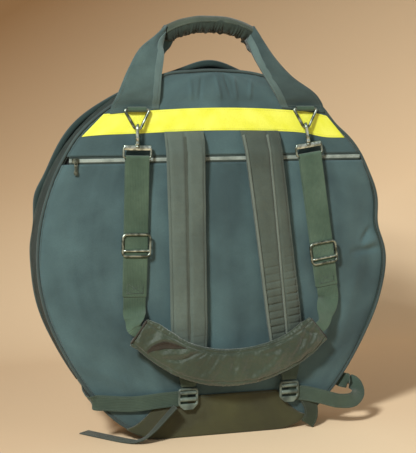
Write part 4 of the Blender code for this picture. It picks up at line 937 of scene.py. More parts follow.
run = np.linspace(-POCKET_ZIP_HALF, POCKET_ZIP_HALF, 120)
line = np.stack([run, np.full(120, POCKET_TAPE_Y), np.full(120, POCKET_Z)], axis=1)
tape = flat_tape("pocket_tape", line, np.tile((0, 0, 0.0057), (120, 1)), np.tile((0, -0.0005, 0), (120, 1)))
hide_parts("pocket_zip_tape")
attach(tape, "bag")
for label, up in (("upper", 0.0013), ("lower", -0.0013)):
    row = line + np.array((0.0004 if up > 0 else 0, -0.0006, up))
    tooth = {"pitch": 0.0015, "radius": 0.0007, "length": 0.0033, "across": (0, 0, 1)}
    teeth = dashes(f"pocket_teeth_{label}", row, (0, -1, 0), CHAIN, "zip", **tooth)
    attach(teeth, "bag")
for label, side, body, node in (("bag", -1, "bag", "bag_zip_tape"), ("lid", 1, "lid", "lid_zip_tape")):
    middle = arc_line(-0.0010, ZIP_Y + side * (0.0003 + TAPE_HALF))
    tape = flat_tape(f"main_tape_{label}", middle, np.tile((0, TAPE_HALF, 0), (260, 1)), arc_out() * 0.0006)
    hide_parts(node)
    row = arc_line(0.0001, ZIP_Y + side * 0.0013)
    tooth = {"pitch": 0.0017, "radius": 0.0006, "length": 0.0024, "across": (0, 1, 0)}
    teeth = dashes(f"main_teeth_{label}", row, arc_out(), CHAIN_DARK, "zip", **tooth)
    sewn = arc_line(-0.0003, ZIP_Y + side * 0.0060)
    seam = dashes(f"main_seam_{label}", sewn, arc_out(), THREAD, "zip")
    for piece in (tape, teeth, seam):
        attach(piece, body)
print("zips on the pocket and round the rim")

# %% [markdown]
# ## Side wall
#
# The side wall is a band round the whole outline. Each column of its grid is the outline
# moved out by its own offset, so the wall is a shell of even thickness. Under the fold line
# of the front it goes on to the front face, in two halves.

# %% Side wall
EDGE_Y = 0.0353
WALL_FRONT = 0.0150
WALL_OUTSIDE = 14


def wall_profile(near, far, swell, count=WALL_OUTSIDE):
    """Offsets and depths round the wall's section: a crowned outside and a flat inside."""
    t = np.linspace(0, 1, count)
    outside = np.stack([swell * np.sin(np.pi * t) ** 0.6, near + (far - near) * t], axis=1)
    inside = np.stack([np.full(6, -GUSSET), np.linspace(far, near, 6)], axis=1)
    return np.concatenate([outside, inside])


def rim_wall(name, near, far, swell, keep, look, loop=False):
    """The wall along the part of the outline that keep selects."""
    columns = []
    for k, (offset, y) in enumerate(wall_profile(near, far, swell)):
        line = whole_rim(offset)
        bulge = ripple(line[:, 0], line[:, 1] + y, 0.03, 0.0005, 11) if k < WALL_OUTSIDE else 0
        away = unit(line - np.array((0, CENTRE_Z)))
        moved = line + away * np.broadcast_to(bulge, len(line))[:, None] * (swell > 0)
        columns.append(np.stack([moved[:, 0], np.full(len(line), y), moved[:, 1]], axis=1))
    points = np.stack(columns, axis=1)
    points = sag(points[keep(whole_rim(0))])
    return make(name, points[:-1] if loop else points, look, "nylon", loop=loop)


def everywhere(line):
    """Keep the whole outline."""
    return line[:, 1] > -1


# The side wall takes the darker copy of the nylon, painted shade.
gusset = rim_wall("side_wall", -EDGE_Y, WALL_FRONT, 0.0006, everywhere, NYLON_SIDE_SHADED, loop=True)
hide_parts("gusset")
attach(gusset, "bag")


def half_wall(name, sign, low, high):
    """The front part of the wall at one side, between two heights."""

    def keep(line):
        return (line[:, 1] > low) & (line[:, 1] < high) & (line[:, 0] * sign >= 0)

    return rim_wall(name, WALL_FRONT + 0.0003, EDGE_Y, 0.0004, keep, NYLON_SIDE_SHADED)


for label, sign in (("left", -1), ("right", 1)):
    wall = half_wall(f"lower_wall_{label}", sign, -1, CHORD_Z)
    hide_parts("gusset_sill")
    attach(wall, "bag")
print("side wall", len(gusset.data.polygons), "faces, and two lower walls")

# %% [markdown]
# ## Wall of the lid
#
# The front folds down and takes its half of the wall with it. At the top this wall swells in
# a low hump, `HUMP * exp(-((x - HUMP_X) / HUMP_WIDTH) ** 2)`, which shows above the back in
# the photograph. Between the zip's end and the fold line two short walls, the skirts, close
# the gap.

# %% Wall of the lid
HUMP = 0.0145
HUMP_X = 0.008
HUMP_WIDTH = 0.046

turn = np.linspace(-ZIP_END, ZIP_END, 260)
hump = bell(RADIUS * np.sin(turn), HUMP_X, HUMP_WIDTH, HUMP) * (np.cos(turn) > 0)
columns = []
for offset, y in wall_profile(ZIP_Y + 0.0076, EDGE_Y, 0.0005, 8):
    lift = (hump + flare(turn)) * ramp(np.array(y), ZIP_Y, EDGE_Y)
    reach = RADIUS + offset + lift
    columns.append(np.stack([reach * np.sin(turn), np.full(260, y), CENTRE_Z + reach * np.cos(turn)], axis=1))
lid_wall = make("lid_wall", np.stack(columns, axis=1), NYLON_SIDE_SHADED, "nylon")
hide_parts("lid_gusset")
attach(lid_wall, "lid")
ZIP_LOW = CENTRE_Z + RADIUS * math.cos(ZIP_END) - 0.0012
for label, sign in (("left", -1), ("right", 1)):
    skirt = half_wall(f"lid_skirt_{label}", sign, CHORD_Z + 0.0008, ZIP_LOW)
    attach(skirt, "lid")
print("lid wall", len(lid_wall.data.polygons), "faces, and two skirts")

# %% [markdown]
# ## Piping
#
# A covered cord is sewn into both edges of the wall. It is a round tube on the outline, and
# its row of stitches lies just inside it. The front cord follows the hump and the flare.

# %% Piping
PIPING_INSET = 0.0006


def piping(name, y, keep, swell, body, node):
    """A cord on the outline where keep selects it, lifted by swell times the lid's shape."""
    line = whole_rim(-PIPING_INSET)
    line = line[keep(line)]
    away = unit(line - np.array((0, CENTRE_Z)))
    lift = bell(line[:, 0], HUMP_X, HUMP_WIDTH, HUMP) * (line[:, 1] > CENTRE_Z) * swell
    lift = lift + flare(np.arctan2(line[:, 0], line[:, 1] - CENTRE_Z)) * swell
    line = line + away * lift[:, None]
    path = sag(np.stack([line[:, 0], np.full(len(line), y), line[:, 1]], axis=1))
    cord = tube(name, path, PIPING, PIPE, "piping", sides=14)
    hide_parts(node)
    inward = np.stack([-away[:, 0], away[:, 0] * 0, -away[:, 1]], axis=1)
    sewn = path + inward * 0.0045 + np.array((0, np.sign(y) * 0.0012, 0))
    seam = dashes(f"{name}_seam", sewn, (0, np.sign(y), 0), THREAD, "piping")
    for piece in (cord, seam):
        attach(piece, body)


def above_patch(line):
    """Keep the outline above the base patch, or beside it."""
    return (line[:, 1] > 0.068) | (np.abs(line[:, 0]) > 0.145)


def above_fold(line):
    """Keep the outline above the lid's fold line."""
    return line[:, 1] > CHORD_Z + 0.0026


piping("back_cord", -0.0379, above_patch, 0, "bag", "back_piping")
piping("lid_cord", 0.0379, above_fold, 1, "lid", "lid_piping")
print("piping on both edges")

# %% [markdown]
# ## The front, which folds down
#
# The front is a padded face that crowns by 9 mm. Its finished points are then moved out by
# the flare and up by the hump, so that it meets the lid's wall. The photograph doesn't show
# this side, so it stays plain.

# %% Front
def lid_height(x, z):
    """Height of the front's crown: 9 mm * (1 - r ** 3), and broad waves."""
    reach = np.hypot(x / RADIUS, (z - 0.32) / 0.275)
    return 0.009 * np.clip(1 - reach**3, 0, 1) * ramp(z, CHORD_Z, 0.17) + ripple(x, z, 0.11, 0.0008, 21)


def no_height(x, z):
    """A flat face."""
    return x * 0


front = face("front_cover", CHORD_Z + 0.0003, FACE_TOP, 1, lid_height, NYLON, "nylon", rows=120)
place = places_of(front.data)
reach = np.hypot(place[:, 0], place[:, 2] - CENTRE_Z)
out = flare(np.arctan2(place[:, 0], place[:, 2] - CENTRE_Z))
out = out * ramp(reach, 0.24, 0.29) / np.maximum(reach, 0.01)
place[:, 0] += out * place[:, 0]
place[:, 2] += out * (place[:, 2] - CENTRE_Z)
place[:, 2] += bell(place[:, 0], HUMP_X, HUMP_WIDTH, HUMP) * ramp(place[:, 2], 0.53, 0.59)
front.data.vertices.foreach_set("co", place.ravel())
front.data.update()
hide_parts("lid_cover", "lid_foam")
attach(front, "lid")
sill = face("front_sill", FACE_LOW, CHORD_Z - 0.0003, 1, no_height, NYLON, "nylon", rows=30)
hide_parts("front_sill_sheet", "front_sill_foam")
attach(sill, "bag")
print("front", len(front.data.polygons), "faces")

# %% [markdown]
# ## Lining
#
# The inside of both faces is quilted in diamonds, which shows when the front is folded down:
# `|sin((x + z) * pi / q) * sin((x - z) * pi / q)|`.

# %% Lining
QUILT = 0.075


def lining(name, low, side, body, node):
    """A quilted skin inside the bag, its pattern facing the cymbals."""
    z = np.linspace(low, 0.589, 90)[:, None] * np.ones(140)
    x = np.linspace(-1, 1, 140)[None] * edge_at(z, -0.0062)
    puff = np.abs(np.sin((x + z) * np.pi / QUILT) * np.sin((x - z) * np.pi / QUILT)) ** 0.6 * 0.0016
    inner = np.stack([x, side * (0.0301 - puff), z], axis=-1)
    outer = np.stack([x, np.full_like(x, side * 0.0309), z], axis=-1)
    points = np.concatenate([inner, outer[:, ::-1]], axis=1)
    made = make(name, sag(points) if side < 0 else points, LINING, "lining")
    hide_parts(node)
    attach(made, body)


lining("back_quilt", 0.010, -1, "bag", "back_lining")
lining("lid_quilt", CHORD_Z + 0.0006, 1, "lid", "lid_lining")
print("two linings, in diamonds of", QUILT, "m")

# %% [markdown]
# ## Base patch
#
# A tougher brown cloth guards the base. The patch is one skin that starts on the wearer's
# side, wraps under the base and ends on the front. Rows follow that path, and each row runs
# across the bag. On a face, the row's height is `z = top + (rim(x) - top) * t`.

# %% Base patch
PATCH_TOP = 0.068
PATCH_OUT, PATCH_IN = 0.0023, 0.0003
PATCH_Y = HALF_DEPTH + PATCH_OUT
PATCH_TOP_HALF, PATCH_SPREAD = 0.100, 0.056
SKIRT = 18


def rim_height(x, offset):
    """Height of the outline's lower part over a place across the bag."""
    line = rim(offset)
    line = line[line[:, 1] < CHORD_Z][::-1]
    return np.interp(np.abs(x), line[:, 0], line[:, 1])


def patch_skin(offset, depth):
    """Rows of the patch at one offset from the bag's outside."""
    rows = []
    for t in np.linspace(0, 1, SKIRT):
        x = np.linspace(-1, 1, 60) * (PATCH_TOP_HALF + PATCH_SPREAD * t)
        low = rim_height(x, offset)
        rows.append(np.stack([x, np.full(60, -depth), PATCH_TOP + (low - PATCH_TOP) * t**0.9], axis=1))
    x = rows[-1][:, 0]
    low = rim_height(x, offset)
    under = [np.stack([x, np.full(60, y), low], axis=1) for y in np.linspace(-depth, depth, 24)[1:-1]]
    mirror = [row * np.array((1, -1, 1)) for row in rows[::-1]]
    return np.array(rows + under + mirror)


outside = patch_skin(PATCH_OUT, PATCH_Y)
inside = patch_skin(PATCH_IN, HALF_DEPTH + PATCH_IN)
uneven = np.abs(ripple(outside[..., 0], outside[..., 2], 0.03, 1, 31)) * (outside[..., 2] > 0.012)
outside[..., 1] += np.sign(outside[..., 1]) * 0.0006 * uneven
patch = make("base_skin", np.concatenate([outside, inside[:, ::-1]], axis=1), PATCH, "patch")
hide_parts("base_patch")
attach(patch, "bag")
for label, side in (("back", -1), ("front", 1)):
    top = np.linspace((-0.097, PATCH_TOP - 0.003), (0.097, PATCH_TOP - 0.003), 60)
    path = np.insert(top, 1, side * (PATCH_Y + 0.0004), axis=1)
    seam = dashes(f"patch_seam_{label}", path, (0, side, 0), THREAD, "patch")
    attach(seam, "bag")
print("base patch with two seams")

# %% [markdown]
# ## The handle's grip
#
# The grip is a padded roll on an arch. A smooth cap of cloth lies over its upper side, and
# the cloth under the cap is gathered: its section shrinks by a sum of sines along the arch.
# Both are rings of points round one middle line, so the cap lies on the roll everywhere.

# %% Grip
TOP_Z = 0.595
GRIP_HALF = np.array((0.0140, 0.0170))
GRIP_REACH = {"left": 0.075, "right": 0.064}
GRIP_END_Z = 0.651
GRIP_SLOPE = math.radians(30.0)
GRIP_TOP_Z = 0.681
HIDDEN_ROWS = 13
CAP_EDGE = 0.22


def arch(count):
    """Middle line of the grip, its height directions and its shares from -1 to 1."""
    share = np.linspace(-1, 1, count)
    crown = GRIP_TOP_Z - GRIP_HALF[0]
    drop = (crown - GRIP_END_Z) * np.abs(share) ** 2.4
    middle = (GRIP_REACH["right"] - GRIP_REACH["left"]) / 2
    half = (GRIP_REACH["right"] + GRIP_REACH["left"]) / 2
    centre = np.stack([middle + half * share, share * 0, crown - drop], axis=1)
    tilt = GRIP_SLOPE * (0.75 * share**3 + 0.25 * share)
    hidden = np.linspace(0, 1, HIDDEN_ROWS + 1)[:-1, None]
    start = np.array((-GRIP_REACH["left"] - 0.010, 0, GRIP_END_Z - 0.0045))
    centre = np.concatenate([start + (centre[0] - start) * hidden, centre])
    share = np.concatenate([np.full(HIDDEN_ROWS, -1.0), share])
    tilt = np.concatenate([-0.8 * GRIP_SLOPE - 0.2 * GRIP_SLOPE * hidden[:, 0], tilt])
    return centre, np.stack([np.sin(tilt), share * 0, np.cos(tilt)], axis=1), share


def grip_ring(centre, up, turn, reach):
    """Points round the grip at section angles turn, pushed out by reach.

    The rows that are hidden inside the left leg taper, so that they don't poke out of it.
    """
    taper = np.interp(np.arange(len(centre)), (0, HIDDEN_ROWS), (0.55, 1))[:, None]
    reach = np.broadcast_to(reach, (len(centre), np.shape(turn)[-1])) * taper
    high = np.sign(np.sin(turn)) * np.abs(np.sin(turn)) ** 0.9 * GRIP_HALF[0]
    deep = np.cos(turn) * GRIP_HALF[1]
    offset = up[:, None] * (high * reach)[..., None]
    return centre[:, None] + offset + np.array((0, 1, 0)) * (deep * reach)[..., None]


def grip():
    """The gathered roll: reach = 0.94 + sines, deepest below; then its cap and a seam."""
    centre, up, share = arch(190)
    turn = np.linspace(0, 2 * np.pi, 64, endpoint=False)
    under = np.clip(0.45 - np.sin(turn), 0, 1)[None]
    run = (share * 0.07)[:, None]
    swing = 3.1 * np.sin(run * 170 + turn[None] * 1.3)
    gather = np.sin(run * 900 + swing + turn[None] * 0.8)
    gather = (0.0008 * gather + 0.0007 * np.sin(run * 410 + turn[None] * 2 + 1.7)) * under
    soft = ripple(run + 0 * turn, turn[None] * 0.015, 0.018, 0.0004, 41)
    reach = 0.94 + (gather + soft) / GRIP_HALF[0]
    # The gathered underside takes the dark grip colour, painted shade under the grip.
    made = make("grip", grip_ring(centre, up, turn, reach), GRIP_UNDER_SHADED, "nylon")
    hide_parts("handle_grip")
    over = np.linspace(CAP_EDGE, np.pi - CAP_EDGE, 40)
    wrinkle = ripple(run + 0 * over, over[None] * 0.015, 0.03, 0.0003, 43)
    edge = 1 - 0.06 * (1 - np.sin(over)) ** 4
    outer = grip_ring(centre, up, over, edge + wrinkle / GRIP_HALF[0])
    inner = grip_ring(centre, up, over[::-1], np.full((len(share), 40), 0.90))
    cap = make("grip_cap", np.concatenate([outer, inner], axis=1), GRIP, "nylon")
    seam = dashes("grip_seam", outer[:, -3], unit(outer[:, -3] - centre), THREAD, "nylon")
    for piece in (made, cap, seam):
        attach(piece, "bag")


grip()
print("grip over", GRIP_REACH["left"] + GRIP_REACH["right"], "m")

# %% [markdown]
# ## The handle's legs
#
# Four legs run down from the grip's ends, two sewn flat on the wearer's side, each with a
# lighter bound edge, and two on the side wall behind them. A leg is a loft through stations
# that start as a thin hem and thicken upwards. Its section is creased by a ripple along it.

# %% Legs
REAR_Y = 0.006
REAR_ANGLE = math.radians(24.0)
LEG_ROWS = {
    "left": (
        (0.1000, -0.0630, 0.1790, -0.0702), (0.1000, -0.0575, 0.1770, -0.0586),
        (0.0998, -0.0480, 0.1710, -0.0465), (0.0965, -0.0080, 0.1490, 0.0020),
        (0.0900, 0.0240, 0.1260, 0.0350),
    ),
    "right": (
        (0.1060, -0.0630, 0.1790, -0.0702), (0.1025, -0.0575, 0.1770, -0.0586),
        (0.0970, -0.0480, 0.1690, -0.0465), (0.0745, -0.0120, 0.1180, -0.0080),
        (0.0590, 0.0190, 0.0890, 0.0270),
    ),
}
LEG_HALF_THICK = (0.0006, 0.0007, 0.0027, 0.0030, 0.0032)
BINDING = 0.0060


def leg(name, node, sign, stations, seed, seams):
    """A padded leg: rows of centre, half width and half thickness, with stitches at its edges."""
    rows = np.array([np.concatenate(station) for station in stations])
    dense = smooth(rows, 130)
    mirror = np.array((sign, 1, 1))
    centre, wide, thick = (dense[:, k : k + 3] * mirror for k in (0, 3, 6))
    shape = section(64, 0.42)
    run = lengths(centre)[:, None]
    width = np.linalg.norm(wide, axis=1)[:, None]
    puff = ripple(run + 0 * width, shape[:, 0] * width, 0.030, 1.0, seed)
    puff = 1 + 0.16 * puff * ramp(run, 0.004, 0.03)
    shape = np.stack([np.broadcast_to(shape[:, 0], puff.shape), shape[:, 1] * puff], axis=-1)
    # The right legs take the darker copy of the nylon, painted shade.
    look = PADDED_LEG["left" if sign < 0 else "right"]
    pieces = [loft(name, centre, wide, thick, shape, look, "nylon")]
    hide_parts(node)
    if seams:
        bound = np.clip(BINDING / np.maximum(width, 0.001), 0, 0.8)
        middle = (centre - wide * (1 - bound) + thick * 0.92)[3:]
        half = (wide * bound)[3:]
        edge = loft(f"{name}_binding", middle, half, thick[3:] * 0.28, section(28, 0.5), LEG_LIGHT, "nylon")
        pieces.append(edge)
        for k, at in enumerate((-0.86, 0.86)):
            line = centre + wide * at + thick * (1.25 if k == 0 else 0.93)
            pieces.append(dashes(f"{name}_seam{k}", line[3:100], thick[3:100], THREAD, "nylon"))
        across = np.linspace(-0.9, 0.9, 40)[:, None]
        for k, row in enumerate((3, 7)):
            line = centre[row] + wide[row] * across + thick[row] * 0.98
            pieces.append(dashes(f"{name}_hem{k}", line, np.tile(thick[row], (40, 1)), THREAD, "nylon"))
    for piece in pieces:
        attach(piece, "bag")


def grip_end(side, y):
    """Centre and half height of the grip's end at a depth y, where a leg ends."""
    along = np.array((math.cos(GRIP_SLOPE), 0, -math.sin(GRIP_SLOPE)))
    high = np.array((math.sin(GRIP_SLOPE), 0, math.cos(GRIP_SLOPE)))
    return np.array((GRIP_REACH[side], y, GRIP_END_Z)) - along * 0.004, high * GRIP_HALF[0]


def back_stations(side):
    """Stations of a leg on the wearer's side, from its thin hem up into the grip's end."""
    end, high = grip_end(side, -0.0085)
    if side == "left":
        end, high = np.array((0.0820, -0.0085, 0.6535)), np.array((-0.0020, 0, 0.0108))
    deep = np.array((0, -0.0082, 0))
    stations = []
    for k, (inner_x, inner_z, outer_x, outer_z) in enumerate(LEG_ROWS[side]):
        thick = LEG_HALF_THICK[k]
        y = -HALF_DEPTH - 0.0001 - thick + (0.0100 if k == 4 else 0)
        inner = np.array((inner_x, y, TOP_Z + inner_z))
        outer = np.array((outer_x, y, TOP_Z + outer_z))
        stations.append(((inner + outer) / 2, (outer - inner) / 2, np.array((0, -thick, 0))))
    centre, wide, thick = stations[-1]
    stations.append(((centre + end) / 2, wide * 0.4 + high * 0.6, (thick + deep) / 2))
    return stations + [(end, high, deep)]


def front_stations(side):
    """Stations of a leg on the side wall, from its foot up into the grip's end."""
    end, high = grip_end(side, 0.0085)
    out = np.array((math.sin(REAR_ANGLE), 0, math.cos(REAR_ANGLE)))
    run = np.array((math.cos(REAR_ANGLE), 0, -math.sin(REAR_ANGLE)))
    foot = np.array((0, REAR_Y, CENTRE_Z)) + out * (RADIUS + 0.0030)
    wide = np.array((0, 0.0098, 0))
    lifted = foot - run * 0.0285 + out * 0.007
    return [
        (foot + run * 0.0152 - out * 0.0004, wide, out * 0.0024),
        (foot, wide, out * 0.0026),
        (lifted, wide, out * 0.0026),
        ((lifted + end) / 2, wide, high * 0.35 + out * 0.002),
        (end, np.array((0, 0.0082, 0)), high),
    ]


for side, sign in (("left", -1), ("right", 1)):
    leg(f"leg_back_{side}", f"handle_back_leg_{side}", sign, back_stations(side), 50 + sign, True)
    leg(f"leg_front_{side}", f"handle_front_leg_{side}", sign, front_stations(side), 60 + sign, False)
print("four legs, with", len(LEG_ROWS["left"]), "drawn rows on each back leg")

# %% [markdown]
# ## Rings and their tabs
#
# The shoulder strap hooks into a triangular ring on each side, held by a loop of webbing. The
# wires run round triangles and rectangles whose corners are fillets: between two directions
# a and b the arc is `(a * sin((1 - t) * w) + b * sin(t * w)) / sin(w)`.

# %% Rings
RING_X = {"left": -0.137, "right": 0.144}
RING_Y = -0.0458
RING_Z = 0.532
TILT = {"left": math.radians(-1.5), "right": math.radians(8.5)}
APEX_Y = -0.05055
APEX_Z = 0.50186
RING_HALF, RING_DROP, RING_LEAN = 0.0205, 0.033, 0.0052
RING_WIRE = 0.0023
RING_CORNER, APEX_RADIUS = 0.0024, 0.007
TAB_HALF = 0.015
FRONT = np.array((0.0, -1.0, 0.0))


def filleted(corners, radii, steps=10):
    """A closed route through corners, each rounded with its own radius."""
    corners = np.asarray(corners, float)
    route = []
    for k, corner in enumerate(corners):
        back = unit(corners[k - 1] - corner)
        ahead = unit(corners[(k + 1) % len(corners)] - corner)
        half = math.acos(np.clip(back @ ahead, -1, 1)) / 2
        centre = corner + unit(back + ahead) * radii[k] / math.sin(half)
        first = corner + back * radii[k] / math.tan(half) - centre
        last = corner + ahead * radii[k] / math.tan(half) - centre
        sweep = math.acos(np.clip(unit(first) @ unit(last), -1, 1))
        t = np.linspace(0, 1, steps)[:, None]
        route.append(centre + (first * np.sin((1 - t) * sweep) + last * np.sin(t * sweep)) / math.sin(sweep))
    return np.concatenate(route)


def hang(side):
    """Apex of the ring, and the directions down and across one end of the shoulder strap."""
    turn = TILT[side]
    down = np.array((math.sin(turn), 0, -math.cos(turn)))
    across = np.array((math.cos(turn), 0, math.sin(turn)))
    return np.array((RING_X[side], APEX_Y, APEX_Z)), down, across


def ring(side):
    """A triangle of wire, whose apex is drawn past its round, and the tab that holds it."""
    x = RING_X[side]
    drop = RING_DROP + APEX_RADIUS * 0.7
    apex = (x, RING_Y - RING_LEAN * drop / RING_DROP, RING_Z - drop)
    corners = [(x - RING_HALF, RING_Y, RING_Z), apex, (x + RING_HALF, RING_Y, RING_Z)]
    route = filleted(corners, (RING_CORNER, APEX_RADIUS, RING_CORNER))
    wire = tube(f"triangle_{side}", route, RING_WIRE, STEEL, "steel", loop=True)
    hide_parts(f"ring_{side}")
    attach(wire, f"ring_{side}")
    turn = np.linspace(0, 2 * np.pi, 26, endpoint=False)[:, None]
    spread = np.concatenate([turn * 0, np.cos(turn), np.sin(turn)], axis=1)
    middle = np.array((x, RING_Y, RING_Z)) + spread * 0.0035
    wide = np.tile((TAB_HALF, 0, 0), (26, 1))
    shape = section(18, 0.35)
    tab = loft(f"ring_loop_{side}", middle, wide, spread * 0.0008, shape, WEBBING, "webbing", loop=True)
    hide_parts(f"ring_tab_{side}")
    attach(tab, "bag")


for side in ("left", "right"):
    ring(side)
print("two rings of wire", RING_WIRE * 2, "m thick")

# %% [markdown]
# ## Snap hooks
#
# A snap hook is a bent wire that thickens into a turned barrel, with a sprung gate that shuts
# its mouth. The bow is half an ellipse, `p = apex + a * cos t + b * sin t`, and the shank and
# the nose are straight runs joined to it, so the whole wire is one tube. The barrel is a
# loft through the widths of a turned profile.

# %% Snap hooks
HOOK_TURN = math.radians(18.0)
HOOK_LENGTH = 0.025
BOW_REACH, BOW_RISE = 0.0072, 0.0058
HOOK_WIRE, GATE_WIRE = 0.0022, 0.0017
SWIVEL_RADIUS = 0.0042
BARREL = (
    (0.48, 0.30, 0.6), (0.53, 0.92, 0.72), (0.62, 0.92, 0.76), (0.70, 0.66, 0.8),
    (0.78, 0.62, 0.82), (0.90, 0.74, 0.95), (0.97, 0.70, 0.92), (1.0, 0.5, 0.7),
)


def hook(side):
    """Bow, shank and barrel of a snap hook, with its sprung gate; the bow is an ellipse."""
    apex, down, across = hang(side)
    reach = FRONT * math.cos(HOOK_TURN) - across * math.sin(HOOK_TURN)
    aside = np.cross(reach, down)
    bow, rise, length = BOW_REACH, BOW_RISE, HOOK_LENGTH
    bend = np.linspace(0, np.pi, 24)[:, None]
    curve = apex + reach * bow * np.cos(bend) - down * rise * np.sin(bend)
    shank = apex + reach * bow + down * np.linspace(0.62 * length, 0.0008, 10)[:, None]
    nose = apex - reach * bow + down * np.array((0.0008, 0.003))[:, None]
    path = np.concatenate([shank, curve, nose])
    along = np.linspace(0, 1, len(path))
    taper = np.interp(along, (0, 0.2, 0.9, 1), (1.3, 1.2, 1.2, 1.0)) * HOOK_WIRE
    # The hook's wire and barrel take the brighter steel, a painted highlight.
    body = tube(f"snap_hook_{side}", path, taper, STEEL_PAINTED_HIGHLIGHT, "steel")
    centre = np.array([apex + down * length * row[0] for row in BARREL])
    wides = np.array([reach * bow * 1.25 * row[1] for row in BARREL])
    throughs = np.array([aside * SWIVEL_RADIUS * row[2] for row in BARREL])
    barrel = loft(f"hook_barrel_{side}", centre, wides, throughs, section(28, 0.8), STEEL_PAINTED_HIGHLIGHT, "steel")
    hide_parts(f"hook_{side}")
    low = apex - reach * bow * 0.86 + down * (length * 0.5 - 0.0018)
    high = apex - reach * bow + down * 0.0036
    gate = tube(f"spring_gate_{side}", np.linspace(low, high, 8), GATE_WIRE, STEEL_PAINTED_HIGHLIGHT, "steel")
    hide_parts(f"hook_gate_{side}")
    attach(gate, f"hook_gate_{side}")
    for piece in (body, barrel):
        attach(piece, f"hook_{side}")


for side in ("left", "right"):
    hook(side)
print("two snap hooks", HOOK_LENGTH, "m long")

# %% [markdown]
# ## Hook frames and tri-glides
#
# The webbing turns round the lower bar of a frame, which swivels under the hook on a boss. A
# tri-glide sets the strap's length: a frame in front of the webbing, a bar behind it, bent
# back at its ends, and a cross bar. All of them are wires on filleted routes or smooth curves.

# %% Frames and tri-glides
GLIDE_DROP = {"left": 0.137, "right": 0.163}
FRAME_TOP = HOOK_LENGTH + 0.0003 + 0.0045 - 0.0010
FRAME_DROP = 0.016
BOSS_TOP = 0.0253
PLATE_MIDDLE = 0.0256 + 0.00375
GLIDE_FORWARD = 0.0023 + 0.0016 + 0.0003 + 0.0019
GLIDE_HALF = 0.0221
SQUARE = ((-1, -1), (1, -1), (1, 1), (-1, 1))


def rectangle(name, centre, across, tall, half_wide, half_tall, radius, wire):
    """A closed wire round a rectangle, centre +- across * half_wide +- tall * half_tall."""
    corners = [centre + across * a * half_wide + tall * b * half_tall for a, b in SQUARE]
    return tube(name, filleted(corners, (radius,) * 4), wire, STEEL, "steel", loop=True)


def hook_frame(side):
    """The frame under a hook, with its swivel's boss and the plate that they share."""
    apex, down, across = hang(side)
    top = apex + down * FRAME_TOP
    bar = top + down * FRAME_DROP
    loop = rectangle(f"strap_frame_{side}", (top + bar) / 2, across, down, 0.022, 0.008, 0.0032, 0.0020)
    boss_rows = np.array([apex + down * (BOSS_TOP + step) for step in (0, 0.0006, 0.0040, 0.0046)])
    size = np.array((0.7, 1.0, 1.0, 0.75))[:, None] * SWIVEL_RADIUS
    wide, through = across * size, FRONT * size
    boss = loft(f"swivel_boss_{side}", boss_rows, wide, through, section(24, 1.0), STEEL, "steel")
    tall = np.array((-0.0037, -0.0034, 0.0034, 0.0037))[:, None] * down
    size = np.array((0.95, 1.0, 1.0, 0.95))[:, None]
    plate_at = apex + down * PLATE_MIDDLE + tall
    wide, through = across * 0.0221 * size, FRONT * 0.0025 * size
    plate = loft(f"frame_plate_{side}", plate_at, wide, through, section(40, 0.4), STEEL_PAINTED_HIGHLIGHT, "steel")
    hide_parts(f"hook_frame_{side}")
    for piece in (loop, boss, plate):
        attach(piece, "shoulder_strap")
    return bar, down, across


def tri_glide(side, bar, down, across):
    """A frame in front of the webbing, a bar behind it, and a cross bar."""
    glide = bar + down * GLIDE_DROP[side]
    face_at = glide + FRONT * GLIDE_FORWARD
    outer = rectangle(f"glide_frame_{side}", face_at, across, down, GLIDE_HALF, 0.0171, 0.0062, 0.0021)
    half = across * GLIDE_HALF
    back = (glide - face_at) * 0.7
    left = [face_at - half, face_at - half + back, glide - half * 0.93]
    right = [glide + half * 0.93, face_at + half + back, face_at + half]
    inner = tube(f"glide_bar_{side}", smooth([*left, glide, *right], 60), 0.0015, STEEL, "steel")
    reach = np.linspace(-0.0205, 0.0205, 12)[:, None] * across
    cross = tube(f"glide_cross_{side}", face_at + down * 0.0088 + reach, 0.0018, STEEL_PAINTED_HIGHLIGHT, "steel")
    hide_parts(f"tri_glide_{side}")
    for piece in (outer, inner, cross):
        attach(piece, f"tri_glide_{side}")


for side in ("left", "right"):
    tri_glide(side, *hook_frame(side))
print("tri-glides", GLIDE_DROP, "m under the bars")

# %% [markdown]
# ## Shoulder strap webbing
#
# Each end of the webbing turns round the bar of the hook's frame and comes back behind
# itself, so it is one long path: down the front, half a turn, and down the back. Flat straps
# are lofts and not cloth simulations, because webbing is stiff across its width. A box of
# stitches with a cross closes the loop.

# %% Webbing of the shoulder strap
WEB_HALF = 0.019
WEB_THICK = 0.0016
LAYER = 0.0046
LOOP = 0.220
LOOP_LOOK = {"left": WEBBING, "right": WEBBING_RIGHT}
BOX_STITCH = {"pitch": 0.0028, "radius": 0.00045, "length": 0.002}
BOX_CORNERS = np.array(((-1, -1), (1, -1), (1, 1), (-1, 1), (-1, -1), (1, 1), (1, -1), (-1, 1)))


def strap(name, path, across, half, look, slot, thick=WEB_THICK, count=120, wave=0.0003, seed=1):
    """Webbing along dense points, with its width along across and a wave that fades at its ends."""
    stops = list(zip(path, np.broadcast_to(across, np.shape(path))))
    centre, wide, through = strap_frames(stops, count)
    run = lengths(centre)
    lift = ripple(run, run * 0, 0.06, wave, seed) * np.sin(np.pi * np.linspace(0, 1, count))
    centre = centre + through * lift[:, None]
    return loft(name, centre, wide * half, through * thick / 2, section(28, 0.25), look, slot)


def bar_of(side):
    """The bar that the webbing turns round, and the directions down and across there."""
    apex, down, across = hang(side)
    return apex + down * (FRAME_TOP + FRAME_DROP), down, across


